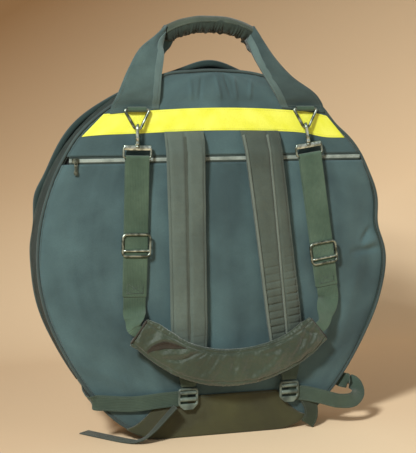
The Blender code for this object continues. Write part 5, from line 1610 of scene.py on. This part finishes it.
def doubled_webbing(side):
    """A loop of webbing: two straight runs and half an ellipse round the bar between them."""
    bar, down, across = bar_of(side)
    out = (LAYER + WEB_THICK) / 2
    turn = np.linspace(0, np.pi, 12)[:, None]
    front = bar + FRONT * out + down * np.linspace(LOOP, 0.004, 30)[:, None]
    bend = bar + FRONT * out * np.cos(turn) - down * out * np.sin(turn) * 0.9
    back = bar - FRONT * out + down * np.linspace(0.004, LOOP - 0.001, 30)[:, None]
    squeeze = ramp(np.linspace(LOOP, 0.004, 30), LOOP - 0.035, LOOP - 0.010)[:, None]
    front = front - FRONT * squeeze * LAYER * 0.45
    route = np.concatenate([front, bend, back])
    look = LOOP_LOOK[side]
    made = strap(f"web_loop_{side}", route, across, WEB_HALF, look, "webbing", count=260, wave=0.0001)
    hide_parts(f"shoulder_webbing_{side}")
    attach(made, "shoulder_strap")
    centre = bar + down * (LOOP - 0.014) + FRONT * (out + WEB_THICK / 2 - LAYER * 0.33)
    corner = centre + across * BOX_CORNERS[:, :1] * 0.013 + down * BOX_CORNERS[:, 1:] * 0.008
    line = np.concatenate([np.linspace(a, b, 12) for a, b in zip(corner, corner[1:])])
    seam = dashes(f"box_stitch_{side}", line, FRONT, THREAD, "webbing", **BOX_STITCH)
    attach(seam, "shoulder_strap")


for side in ("left", "right"):
    doubled_webbing(side)
print("two loops of webbing", LOOP, "m long")

# %% [markdown]
# ## The pad's line and its webbing
#
# The pad hangs in a crescent, drawn as shares of its span and rise. From the end of each loop
# a single webbing turns towards the pad's mouth, narrows, and goes in.

# %% Line of the pad
PAD_Y = -0.076
PAD_MIDDLE = 0.0095
PAD_SPAN = 0.303
PAD_LOW = 0.120
PAD_RISE = 0.064
PAD_SHARES = (
    (-1.0, 1.0), (-0.76, 0.58), (-0.5, 0.23), (-0.24, 0.05), (0.02, 0.0),
    (0.36, 0.07), (0.62, 0.25), (0.84, 0.52), (1.0, 0.83),
)


def pad_line(count):
    """The pad's middle line: x = middle + a * span / 2 and z = low + b * rise for each share."""
    half = PAD_SPAN / 2
    rows = [(PAD_MIDDLE + a * half, PAD_Y + 0.006 * abs(a), PAD_LOW + b * PAD_RISE) for a, b in PAD_SHARES]
    return smooth(rows, count)


def pad_webbing(side):
    """Webbing from a loop's end to the pad's mouth; its width turns and narrows on the way."""
    bar, down, across = bar_of(side)
    line = pad_line(60)
    mouth, inner = (line[0], line[8]) if side == "left" else (line[-1], line[-9])
    away = unit(mouth - inner)
    start = bar + down * (LOOP + 0.0003)
    stop = mouth + away * 0.0012
    leave, arrive = start + down * 0.019, stop + away * 0.0085
    sideways = unit(np.cross(away, FRONT))
    sideways = sideways * np.sign(sideways @ across)
    path = smooth([start, leave, (leave + arrive) / 2, arrive, stop], 40)
    blend = np.linspace(0, 1, 40)[:, None]
    wide = across * (1 - blend) + sideways * blend
    half = WEB_HALF * (0.95 - 0.42 * ramp(np.linspace(0, 1, 60), 0.40, 0.95))[:, None]
    made = strap(f"pad_web_{side}", path, wide, half, LOOP_LOOK[side], "webbing", 0.0022, 60, 0.0002)
    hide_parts(f"pad_webbing_{side}")
    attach(made, "shoulder_strap")


for side in ("left", "right"):
    pad_webbing(side)
print("pad's line", round(float(lengths(pad_line(170))[-1]), 3), "m")

# %% [markdown]
# ## Folds of the pad
#
# The pad's satin is creased where it bends. Each fold is a bent path on the pad's front, with
# a width and a height. At the left end one fold gapes. A small dark skin, painted shade in
# the open fold, is laid there on the pad's own points, found as the nearest ones.

# %% Folds of the pad
PAD_FOLDS = (
    (((-0.130, 0.160), (-0.114, 0.171), (-0.100, 0.172), (-0.085, 0.167), (-0.066, 0.158)), 0.0032, 0.0026),
    (((-0.130, 0.154), (-0.114, 0.161), (-0.100, 0.163), (-0.085, 0.160), (-0.070, 0.156)), 0.0036, -0.0036),
    (((-0.104, 0.141), (-0.081, 0.137), (-0.066, 0.140), (-0.053, 0.146), (-0.043, 0.147)), 0.0026, -0.0028),
    (((-0.108, 0.149), (-0.080, 0.147), (-0.050, 0.153)), 0.0045, 0.0022),
    (((-0.048, 0.139), (-0.036, 0.146)), 0.0022, -0.0020),
    (((-0.028, 0.120), (-0.018, 0.142)), 0.0045, -0.0014),
    (((0.009, 0.136), (0.012, 0.106)), 0.0050, -0.0014),
    (((0.096, 0.142), (0.081, 0.121), (0.042, 0.097)), 0.0065, 0.0026),
    (((0.056, 0.139), (0.075, 0.141), (0.094, 0.147)), 0.0040, -0.0018),
    (((0.112, 0.128), (0.128, 0.150), (0.136, 0.172)), 0.0040, -0.0018),
    (((0.128, 0.130), (0.146, 0.148), (0.160, 0.170)), 0.0035, 0.0018),
    (((0.134, 0.176), (0.146, 0.168), (0.160, 0.166)), 0.0026, -0.0018),
)
MOUTH_TOP = ((-0.130, 0.155), (-0.114, 0.1665), (-0.100, 0.1680), (-0.085, 0.1630), (-0.068, 0.1566))
MOUTH_LOW = ((-0.131, 0.151), (-0.120, 0.1545), (-0.102, 0.1570), (-0.083, 0.1560), (-0.066, 0.1558))


def painted_fold_shade(pad):
    """A dark skin of painted shade in the open fold at the pad's left end, laid on the pad's own points."""
    top, low = smooth(MOUTH_TOP, 34), smooth(MOUTH_LOW, 34)
    flat = top[:, None] + (low - top)[:, None] * np.linspace(0, 1, 9)[None, :, None]
    place = places_of(pad.data)
    place = place[place[:, 1] < PAD_Y]
    gap = np.linalg.norm(flat[:, :, None] - place[None, None][..., [0, 2]], axis=-1)
    y = place[np.argmin(gap, axis=-1), 1]
    outer = np.stack([flat[..., 0], y - 0.0009, flat[..., 1]], axis=-1)
    inner = outer + np.array((0, 0.0016, 0))
    made = make("pad_fold_painted_shade", np.concatenate([outer, inner[:, ::-1]], axis=1), MOUTH_SHADE, "satin")
    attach(made, "shoulder_strap")


print(len(PAD_FOLDS), "folds")

# %% [markdown]
# ## The shoulder pad
#
# The pad is a crescent sleeve, stuffed, with its mouths open where the webbing goes in. A
# fat loft along the line is the sleeve before it is stuffed, a little too thin. The cloth
# simulation swells it, and then the edge seams, the puckers along them and the satin's
# creases, which fan out from the mouths, move its front in and out.

# %% Shoulder pad
PAD_HALF = 0.0325
SLEEVE_HALF = 0.0322
SLEEVE_DEEP = 0.0062


def shoulder_pad():
    """Half width and half thickness shrink by 0.22 * |s| ** 3 towards the ends, s from -1 to 1."""
    count, around = 170, 72
    centre = pad_line(count)
    along = unit(np.gradient(centre, axis=0))
    wide = unit(np.cross(along, FRONT))
    through = unit(np.cross(wide, along))
    share = np.linspace(-1, 1, count)
    swell = 1 - 0.22 * np.abs(share) ** 3
    shape = section(around, 0.62)
    thick = SLEEVE_DEEP * swell[:, None] * shape[:, 1]
    width = SLEEVE_HALF * swell[:, None] * shape[:, 0]
    points = centre[:, None] + wide[:, None] * width[..., None] + through[:, None] * thick[..., None]
    run = lengths(centre)

    def nearest(at):
        """The nearest station of the middle line, and the way off it across the pad in half widths."""
        gaps = (np.linalg.norm(part[:, None] - centre[None], axis=2) for part in np.array_split(at, 20))
        k = np.concatenate([np.argmin(gap, axis=1) for gap in gaps])
        off = np.einsum("ij,ij->i", at - centre[k], wide[k]) / (PAD_HALF * swell[k])
        return k, off

    def sewn(at, normals):
        """Edge seams, creases from the mouths, and puckers along the lower seam."""
        k, off = nearest(at)
        along_pad = run[k] + np.einsum("ij,ij->i", at - centre[k], along[k])
        out_side = np.clip(-normals[:, 1], 0, 1)
        toward_end = ramp(np.abs(share[k]), 0.35, 0.95)
        swing = 2.2 * np.sin(along_pad * 41 + off * 2)
        fans = np.sin(along_pad * 150 + off * 5.5 * np.sign(share[k]) + swing)
        fine = np.sin(along_pad * 330 - off * 4.0 + 1.6 * np.sin(along_pad * 57))
        lift = 0.0008 * fans * toward_end + 0.0004 * fine * (0.3 + 0.7 * toward_end)
        lift = lift + ripple(along_pad, off * 0.02, 0.030, 0.0009, 71)
        lift = lift + ripple(along_pad, off * 0.03, 0.011, 0.00025, 72)
        for path, width, height in PAD_FOLDS:
            lift = lift + crease(at[:, 0], at[:, 2], path, width, height)
        edge = bell(np.abs(off), 0.74, 0.05, -0.0018)
        pucker = 0.0005 * np.sin(along_pad * 2 * np.pi / 0.007) * bell(np.abs(off), 0.90, 0.08, 1)
        return (lift + edge + pucker) * out_side

    def mouth_share(at):
        """Points at the pad's two mouths stay where they are."""
        k, _ = nearest(at)
        return 1 - ramp(np.minimum(k, count - 1 - k) / count, 0.005, 0.05)

    made = stuffed("pad_sleeve", points, SATIN, "satin", sewn, 0.004, 0.0030, mouth_share)
    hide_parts("shoulder_pad")
    painted_fold_shade(made)
    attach(made, "shoulder_strap")
    # Dark lips inside both mouths: painted shade in the sleeve's openings.
    for label, end, inward in (("left", 0, 6), ("right", -1, -7)):
        away = unit(centre[end] - centre[inward])
        over, deep = wide[end] * shape[:, :1], through[end] * shape[:, 1:]
        outer = centre[end] + away * 0.0002 + over * PAD_HALF * swell[end] * 0.9 + deep * 0.0060
        inner = centre[end] + away * 0.0014 + over * 0.0210 + deep * 0.0034
        lip = make(f"pad_mouth_{label}", np.array([outer, inner]), MOUTH_SHADE, "satin")
        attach(lip, "shoulder_strap")
    for label, edge in (("upper", 0.84), ("lower", -0.84)):
        line = centre + wide * (PAD_HALF * swell * edge)[:, None]
        line = line + through * (0.0072 * swell * 0.62)[:, None]
        seam = dashes(f"pad_seam_{label}", line[4:-4], through[4:-4], THREAD, "satin")
        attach(seam, "shoulder_strap")


shoulder_pad()

# %% [markdown]
# ## Backpack straps
#
# Each strap is a padded band with a sewn channel down its middle. It is stuffed like the
# pad, with its two ends held where they were sewn, and then its front dips by a Gaussian at
# the channel. The right strap is gathered between its channel and its edges in its lower
# half: the padding rises and falls every 12 mm. A pale trim covers two of its seams, and a
# dark flat strip in the left strap's channel is painted shade for the pressed groove.

# %% Backpack straps
STRAP_TOP = 0.4975
STRAP_LOW = 0.115
STRAP_Y = -0.055
STRAP_HALF = 0.033
STRAP_THICK = 0.0062
STRAP_X = {"left": (-0.0605, -0.0540), "right": (0.0660, 0.1160)}
STRAP_LOOK = {"left": STRAP_LEFT, "right": STRAP_RIGHT}
GATHER = {"left": (0.80, 0.93, 0.0009), "right": (0.42, 0.80, 0.0021)}
GATHER_PITCH = 0.0122
STRAP_NEAR_Y = -0.0425
STRAP_KNOTS = (0, 0.03, 0.09, 0.3, 0.55, 0.8, 0.95, 1)
STRAP_OUT = (0, 0.45, 0.85, 1, 1, 1, 0.95, 0.8)
STRAP_WIDE = (0.99, 1, 1, 0.98, 0.96, 0.96, 0.9, 0.68)
STRAP_THICK_SHARES = (0.35, 0.7, 1, 1, 1, 1, 0.9, 0.5)


def backpack_strap(side):
    """A padded strap from the band down, stuffed, sewn and trimmed; its shape follows the knots."""
    count, around = 200, 84
    share = np.linspace(0, 1, count)
    rows = np.array((STRAP_OUT, STRAP_WIDE, STRAP_THICK_SHARES), float)
    out, width, thick = (np.interp(share, STRAP_KNOTS, row) for row in rows)
    ends = STRAP_X[side]
    across_at = ends[0] + (ends[1] - ends[0]) * share
    depth_at = STRAP_NEAR_Y + (STRAP_Y - STRAP_NEAR_Y) * out
    centre = np.stack([across_at, depth_at, STRAP_TOP - (STRAP_TOP - STRAP_LOW) * share], axis=1)
    shape = section(around, 0.55)
    across, front = shape[:, 0][None], shape[:, 1][None]
    depth = (STRAP_THICK - 0.0014) * front * thick[:, None]
    wide = (STRAP_HALF + 0.0004) * width[:, None] * across
    points = centre[:, None] + np.array((1, 0, 0)) * wide[..., None] + FRONT * depth[..., None]

    def channel_at(down):
        """Place of the sewn channel in half widths, at a share of the way down."""
        return 0.34 * (1 - down) if side == "right" else 0.0 * down

    def sewn(at, normals):
        """Channel, edge seams, creases and gathers, on the front only."""
        run = STRAP_TOP - at[:, 2]
        down = np.clip(run / (STRAP_TOP - STRAP_LOW), 0, 1)
        half = STRAP_HALF * np.interp(down, share, width)
        off = (at[:, 0] - np.interp(down, share, centre[:, 0])) / half
        face_on = np.clip(-normals[:, 1], 0, 1)
        body = np.interp(down, share, thick)
        pressed = bell(off, channel_at(down), 0.10, 0.0046)
        pressed = pressed + bell(np.abs(off), 0.86, 0.06, 0.0012)
        uneven = ripple(run, off * 0.033, 0.045, 0.0006, 80 + len(side))
        uneven = uneven + ripple(run, off * 0.05, 0.016, 0.00022, 90)
        slant = off * (0.5 if side == "left" else 1.1)
        tuck = bell(np.sin(np.pi * run / GATHER_PITCH + slant), 0, 0.42, 1)
        low, full, height = GATHER[side]
        tuck = tuck * ramp(down, low, full) * (1 - ramp(down, 0.95, 1.0))
        tuck = tuck * (1 - bell(off, channel_at(down), 0.14, 1))
        uneven = uneven - height * tuck * (1 + 0.4 * np.sin(run * 210 + off * 3))
        return (uneven - pressed * body) * face_on

    def seam_share(at):
        """Points near the strap's two ends stay where they were sewn."""
        down = (STRAP_TOP - at[:, 2]) / (STRAP_TOP - STRAP_LOW)
        return 1 - ramp(down, 0.01, 0.08) * (1 - ramp(down, 0.93, 0.99))

    made = stuffed(f"back_strap_{side}", points, STRAP_LOOK[side], "strap", sewn, 0.004, 0.0014, seam_share)
    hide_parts(f"backpack_strap_{side}")
    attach(made, "bag")
    lines = (("left_edge", -0.90, 0.80), ("middle", channel_at(share), 0.42), ("right_edge", 0.88, 0.80))
    for label, at, lift in lines:
        line = centre + np.array((1, 0, 0)) * (STRAP_HALF * width * at)[:, None]
        line = line + FRONT * (STRAP_THICK * thick * lift)[:, None]
        if side == "right" and label != "right_edge":
            trim = tube(f"strap_trim_{label}", line[4:-6], 0.0021, PIPE_LIGHT, "strap", sides=12)
            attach(trim, "bag")
        elif label == "middle":
            laid = (line - FRONT * 0.0005)[4:-6]
            # A dark flat strip in the channel: painted shade for the pressed groove.
            wide_tape = np.tile((0.0034, 0, 0), (len(laid), 1))
            deep_tape = np.tile(FRONT * 0.0007, (len(laid), 1))
            tape = loft("strap_channel_painted_shade", laid, wide_tape, deep_tape, section(20, 0.4), VALLEY_PAINTED_SHADE, "strap")
            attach(tape, "bag")
        else:
            seam = dashes(f"strap_seam_{side}_{label}", line[6:-6], FRONT, THREAD, "strap")
            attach(seam, "bag")


for side in ("left", "right"):
    backpack_strap(side)
print("two backpack straps", STRAP_TOP - STRAP_LOW, "m long")

# %% [markdown]
# ## Tabs and ladder locks
#
# A tab of webbing narrows from the strap's end to the ladder lock. A ladder lock is a frame
# with two crossbars and a lifting lip, all moulded in one piece: a tube on a filleted
# rectangle, two round bars and a small loft for the lip.

# %% Tabs and ladder locks
LOCK_X = {"left": -0.056, "right": 0.118}
LOCK_Y = -0.050
LOCK_Z = 0.068
LOCK_HALF = 0.0165
LOCK_FOOT, LOCK_HEAD = -0.0125, 0.0135
LOCK_CORNERS = ((-1, LOCK_FOOT), (1, LOCK_FOOT), (1, LOCK_HEAD), (-1, LOCK_HEAD))
LOCK_BARS = ((0.0078, 0.0030), (-0.0030, 0.0034))
LOCK_LIP = (
    (-0.0105, 0.0145, 0.0019),
    (-0.0135, 0.0143, 0.0022),
    (-0.0170, 0.0110, 0.0018),
    (-0.0196, 0.0080, 0.0012),
)


def strap_tab(side):
    """Webbing from the strap's end to its ladder lock; each row is a place and a half width."""
    top_x = STRAP_X[side][1]
    lock_x = LOCK_X[side]
    rows = [
        (top_x, -0.0532, STRAP_LOW + 0.001, 0.0198),
        ((top_x + lock_x * 2) / 3, -0.0520, 0.1000, 0.0160),
        (lock_x, -0.0508, 0.0880, 0.0127),
        (lock_x, -0.0500, 0.0856, 0.0125),
    ]
    dense = smooth(rows, 40)
    wide = np.concatenate([dense[:, 3:], dense[:, 3:] * 0, dense[:, 3:] * 0], axis=1)
    through = np.tile(FRONT * 0.0010, (40, 1))
    made = loft(f"tab_{side}", dense[:, :3], wide, through, section(24, 0.3), WEBBING_LOW, "webbing")
    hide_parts(f"strap_tab_{side}")
    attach(made, "bag")
    for k, at in enumerate((-0.82, 0.82)):
        line = dense[2:-4, :3] + wide[2:-4] * at + FRONT * 0.0011
        seam = dashes(f"tab_seam_{side}{k}", line, FRONT, THREAD, "webbing")
        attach(seam, "bag")


def ladder_lock(side):
    """A moulded frame with two bars and a lip that leans out by 1.6 mm * t ** 2."""
    centre = np.array((LOCK_X[side], LOCK_Y, LOCK_Z))
    right, up = np.array((1.0, 0, 0)), np.array((0, 0, 1.0))
    pieces = []
    corners = [centre + right * a * (LOCK_HALF - 0.0017) + up * b for a, b in LOCK_CORNERS]
    route = filleted(corners, (0.0038,) * 4)
    pieces.append(tube(f"lock_frame_{side}", route, 0.0022, BUCKLE, "buckle", loop=True))
    for k, (height, radius) in enumerate(LOCK_BARS):
        bar = np.linspace(-0.0140, 0.0140, 12)[:, None] * right + centre + up * height + FRONT * 0.0004
        pieces.append(tube(f"lock_bar_{side}{k}", bar, radius, BUCKLE, "buckle"))
    dense = smooth(LOCK_LIP, 24)
    middle = centre + up * dense[:, :1] + FRONT * (np.linspace(0, 1, 24)[:, None] ** 2 * 0.0016)
    wide, through = right * dense[:, 1:2], FRONT * dense[:, 2:3]
    pieces.append(loft(f"lock_lip_{side}", middle, wide, through, section(28, 0.5), BUCKLE, "buckle"))
    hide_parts(f"ladder_lock_{side}")
    for piece in pieces:
        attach(piece, f"ladder_lock_{side}")


for side in ("left", "right"):
    strap_tab(side)
    ladder_lock(side)
print("two tabs and two ladder locks at", LOCK_X)

# %% [markdown]
# ## Lower webbing and tails
#
# The webbing leaves each lock sideways and goes round the corner of the bag to the side wall.
# Its loose tails hang or lie on the floor. Each is a strap through stops: a place, in steps of
# one webbing width `UNIT` from a start, and the direction of the width there. A last rule
# lifts any row that would sink into the floor.

# %% Lower webbing and tails
UNIT = 0.025
CORNER_COUNT = 300
FLOOR_GAP = 0.0004


def corner_stop(sign, share, offset, y):
    """A stop on the side wall near the lower corner, and the direction of its width there."""

    def read(at):
        line = rim(offset, CORNER_COUNT)[CORNER_COUNT:]
        k = at * (len(line) - 1)
        return np.array([np.interp(k, np.arange(len(line)), line[:, j]) for j in (0, 1)])

    here, above = read(share), read(share - 0.05)
    return (sign * here[0], y, here[1]), (sign * (above[0] - here[0]), 0, above[1] - here[1])


def low_webbing(name, node, stops, count, thick=WEB_THICK, width=UNIT, look=WEBBING_LOW):
    """A strap through stops, kept above the floor by half its own height there, and its seams."""
    made_stops = [(np.array(place, float), unit(wide)) for place, wide in stops]
    centre, wide, through = strap_frames(made_stops, count)
    reach = np.abs(wide[:, 2]) * width / 2 + np.abs(through[:, 2]) * thick / 2
    centre[:, 2] = np.maximum(centre[:, 2], reach + FLOOR_GAP)
    made = loft(name, centre, wide * width / 2, through * thick / 2, section(28, 0.25), look, "webbing")
    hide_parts(node)
    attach(made, "bag")
    for k, at in enumerate((-0.8, 0.8)):
        for mark, out in (("a", -1), ("b", 1)):
            line = centre + wide * (width / 2 * at) + through * (thick / 2 * out)
            seam = dashes(f"{name}_seam{k}{mark}", line, through * out, THREAD, "webbing", radius=0.0003)
            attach(seam, "bag")


def steps(start, *rows):
    """Stops that lie (x, y, z) webbing widths from a start, each with its width's direction."""
    return [(np.array(start) + UNIT * np.array(row[:3]), row[3]) for row in rows]


BEHIND = LOCK_Y + 0.0031
OVER = 0.0046
SIT = 0.0011
TAIL_Y = BEHIND - 0.0011 - UNIT * 0.46
TAIL_X = LOCK_X["right"] + UNIT * 1.3
UNDER = BEHIND + WEB_THICK + 0.0003
UP, ASIDE, EDGE_ON = (0, 0, 1), (1, 0, 0), (0, -1, 0.05)
FLAT = (-0.786, -0.618, 0)
SAGGED = (0.1, -0.15, 1)
left_lock, right_lock = ((LOCK_X[side], BEHIND, LOCK_Z) for side in ("left", "right"))
left_stops = steps(
    left_lock,
    (0, 0, -0.06, UP),
    (-1.4, 0, -0.084, UP),
    (-3.8, 0, -0.18, UP),
    (-5.4, 0, 0, UP),
) + [
    corner_stop(-1, 0.43, OVER + SIT, -HALF_DEPTH - OVER),
    corner_stop(-1, 0.41, OVER + SIT, -HALF_DEPTH * 0.75),
    corner_stop(-1, 0.39, SIT, -HALF_DEPTH * 0.3),
    corner_stop(-1, 0.37, SIT, HALF_DEPTH * 0.2),
]
right_stops = steps(
    right_lock,
    (0, 0, -0.24, UP),
    (0.9, 0, -0.288, UP),
    (1.4, -0.04, -0.384, UP),
    (2.4, -0.34, -0.624, SAGGED),
    (3.5, -0.56, -0.9, SAGGED),
    (4.6, -0.42, -0.84, (-0.45, 0.1, 0.85)),
    (5.0, -0.1, -0.456, (-0.9, 0, 0.45)),
    (4.85, 0.25, 0, (-0.9, 0.1, -0.1)),
) + [
    corner_stop(1, 0.41, OVER + SIT, -HALF_DEPTH * 0.75),
    corner_stop(1, 0.39, SIT, -HALF_DEPTH * 0.3),
    corner_stop(1, 0.37, SIT, HALF_DEPTH * 0.2),
]
left_tail = steps(
    (LOCK_X["left"], TAIL_Y, LOCK_Z),
    (-0.95, 0, -0.45, EDGE_ON),
    (-1.7, 0, -1.2, EDGE_ON),
    (-2.4, 0, -1.9, (-0.15, -1, 0)),
) + steps(
    (LOCK_X["left"], TAIL_Y, SIT),
    (-3.0, 0.1, 0.28, (-0.35, -0.9, 0)),
    (-3.6, 0.5, 0.012, (-0.7, -0.7, 0)),
    (-5.0, 2.1, 0, FLAT),
    (-6.2, 3.7, 0, FLAT),
)
right_tail = steps(
    (TAIL_X, UNDER, LOCK_Z), (0, 0, -0.6, ASIDE), (0.35, -0.02, -1.4, ASIDE), (0.3, -0.06, -2.05, ASIDE)
) + steps((TAIL_X, UNDER, SIT), (0.05, -0.1, 0.24, ASIDE))
low_webbing("low_web_left", "lower_webbing_left", left_stops, 150)
low_webbing("low_web_right", "lower_webbing_right", right_stops, 190)
# Both tails take the darker webbing copy, painted shade.
low_webbing("tail_left", "strap_tail_left", left_tail, 130, width=UNIT * 0.92, look=WEBBING_TAIL_SHADED)
low_webbing("tail_right", "strap_tail_right", right_tail, 60, width=UNIT * 0.95, look=WEBBING_TAIL_SHADED)
print("two lower webbings and two tails", UNIT, "m wide")

# %% [markdown]
# ## Floor and backdrop
#
# The bag stands on warm pale paper that curves up behind it. The paper darkens upwards and
# to the left as painted shade: its colour is mixed towards a dark brown by a share
# `z - 0.6 * x + 0.15`. That keeps the lamps plain, and the bag looks the same under other
# light, while the paper keeps its painted shade.

# %% Floor and backdrop
PAPER_LOW = linear(255, 225, 188)
PAPER_PAINTED_SHADE = linear(136, 100, 63)


def sweep():
    """Paper on the floor, a quarter turn of radius 0.35 m, and a wall behind the bag."""
    bend = np.linspace(0, np.pi / 2, 16)
    curve = np.stack([0.55 + 0.35 * np.sin(bend), 0.35 - 0.35 * np.cos(bend)], axis=1)
    line = np.concatenate([[(-3.0, 0.0)], curve, [(0.90, 3.2)]])
    points = np.array([[(x, y, z) for x in (-3.2, 3.2)] for y, z in line])
    rows = len(line)
    faces = [(2 * k, 2 * k + 1, 2 * k + 3, 2 * k + 2) for k in range(rows - 1)]
    mesh = bpy.data.meshes.new("paper")
    mesh.from_pydata(points.reshape(-1, 3).tolist(), [], faces)
    mesh.polygons.foreach_set("use_smooth", np.ones(len(faces), bool))
    look = Look("paper", 0.9)
    parts = look.parts(look.places(False))
    # The share darkens the paper upwards and to the left: painted shade.
    share = look.math("ADD", parts[2], look.math("MULTIPLY_ADD", parts[0], -0.6, 0.15))
    look.paint(mixed(look, PAPER_LOW, PAPER_PAINTED_SHADE, share))
    mesh.materials.append(look.made)
    paper = placed("paper", mesh)
    print("paper of", len(faces), "faces")


sweep()

# %% [markdown]
# ## Light
#
# A small key lamp at the upper left gives the bag's firm shadow, a broad weak one fills in
# from the right, and the world lights the rest evenly.

# %% Light
def lamp(name, at, target, size, power, colour):
    """A square area lamp that looks at a target."""
    data = bpy.data.lights.new(name, "AREA")
    data.shape = "SQUARE"
    data.size = size
    data.energy = power
    data.color = colour
    aim(placed(name, data), at, target)


lamp("key", (-1.38, -1.67, 1.72), (-0.05, 0, 0.3), 0.34, 72.0, (0.96, 1.0, 0.97))
lamp("fill", (1.7, -1.9, 1.1), (0, 0, 0.3), 1.4, 5.0, (0.92, 0.98, 1.0))
WORLD_STRENGTH = 0.31
world = bpy.data.worlds.new("room")
bpy.context.scene.world = world
world.use_nodes = True
sky = world.node_tree.nodes["Background"]
sky.inputs["Color"].default_value = (0.74, 0.76, 0.72, 1.0)
sky.inputs["Strength"].default_value = WORLD_STRENGTH
bpy.context.scene.view_settings.view_transform = "Standard"
print("two lamps and a world of strength", WORLD_STRENGTH)
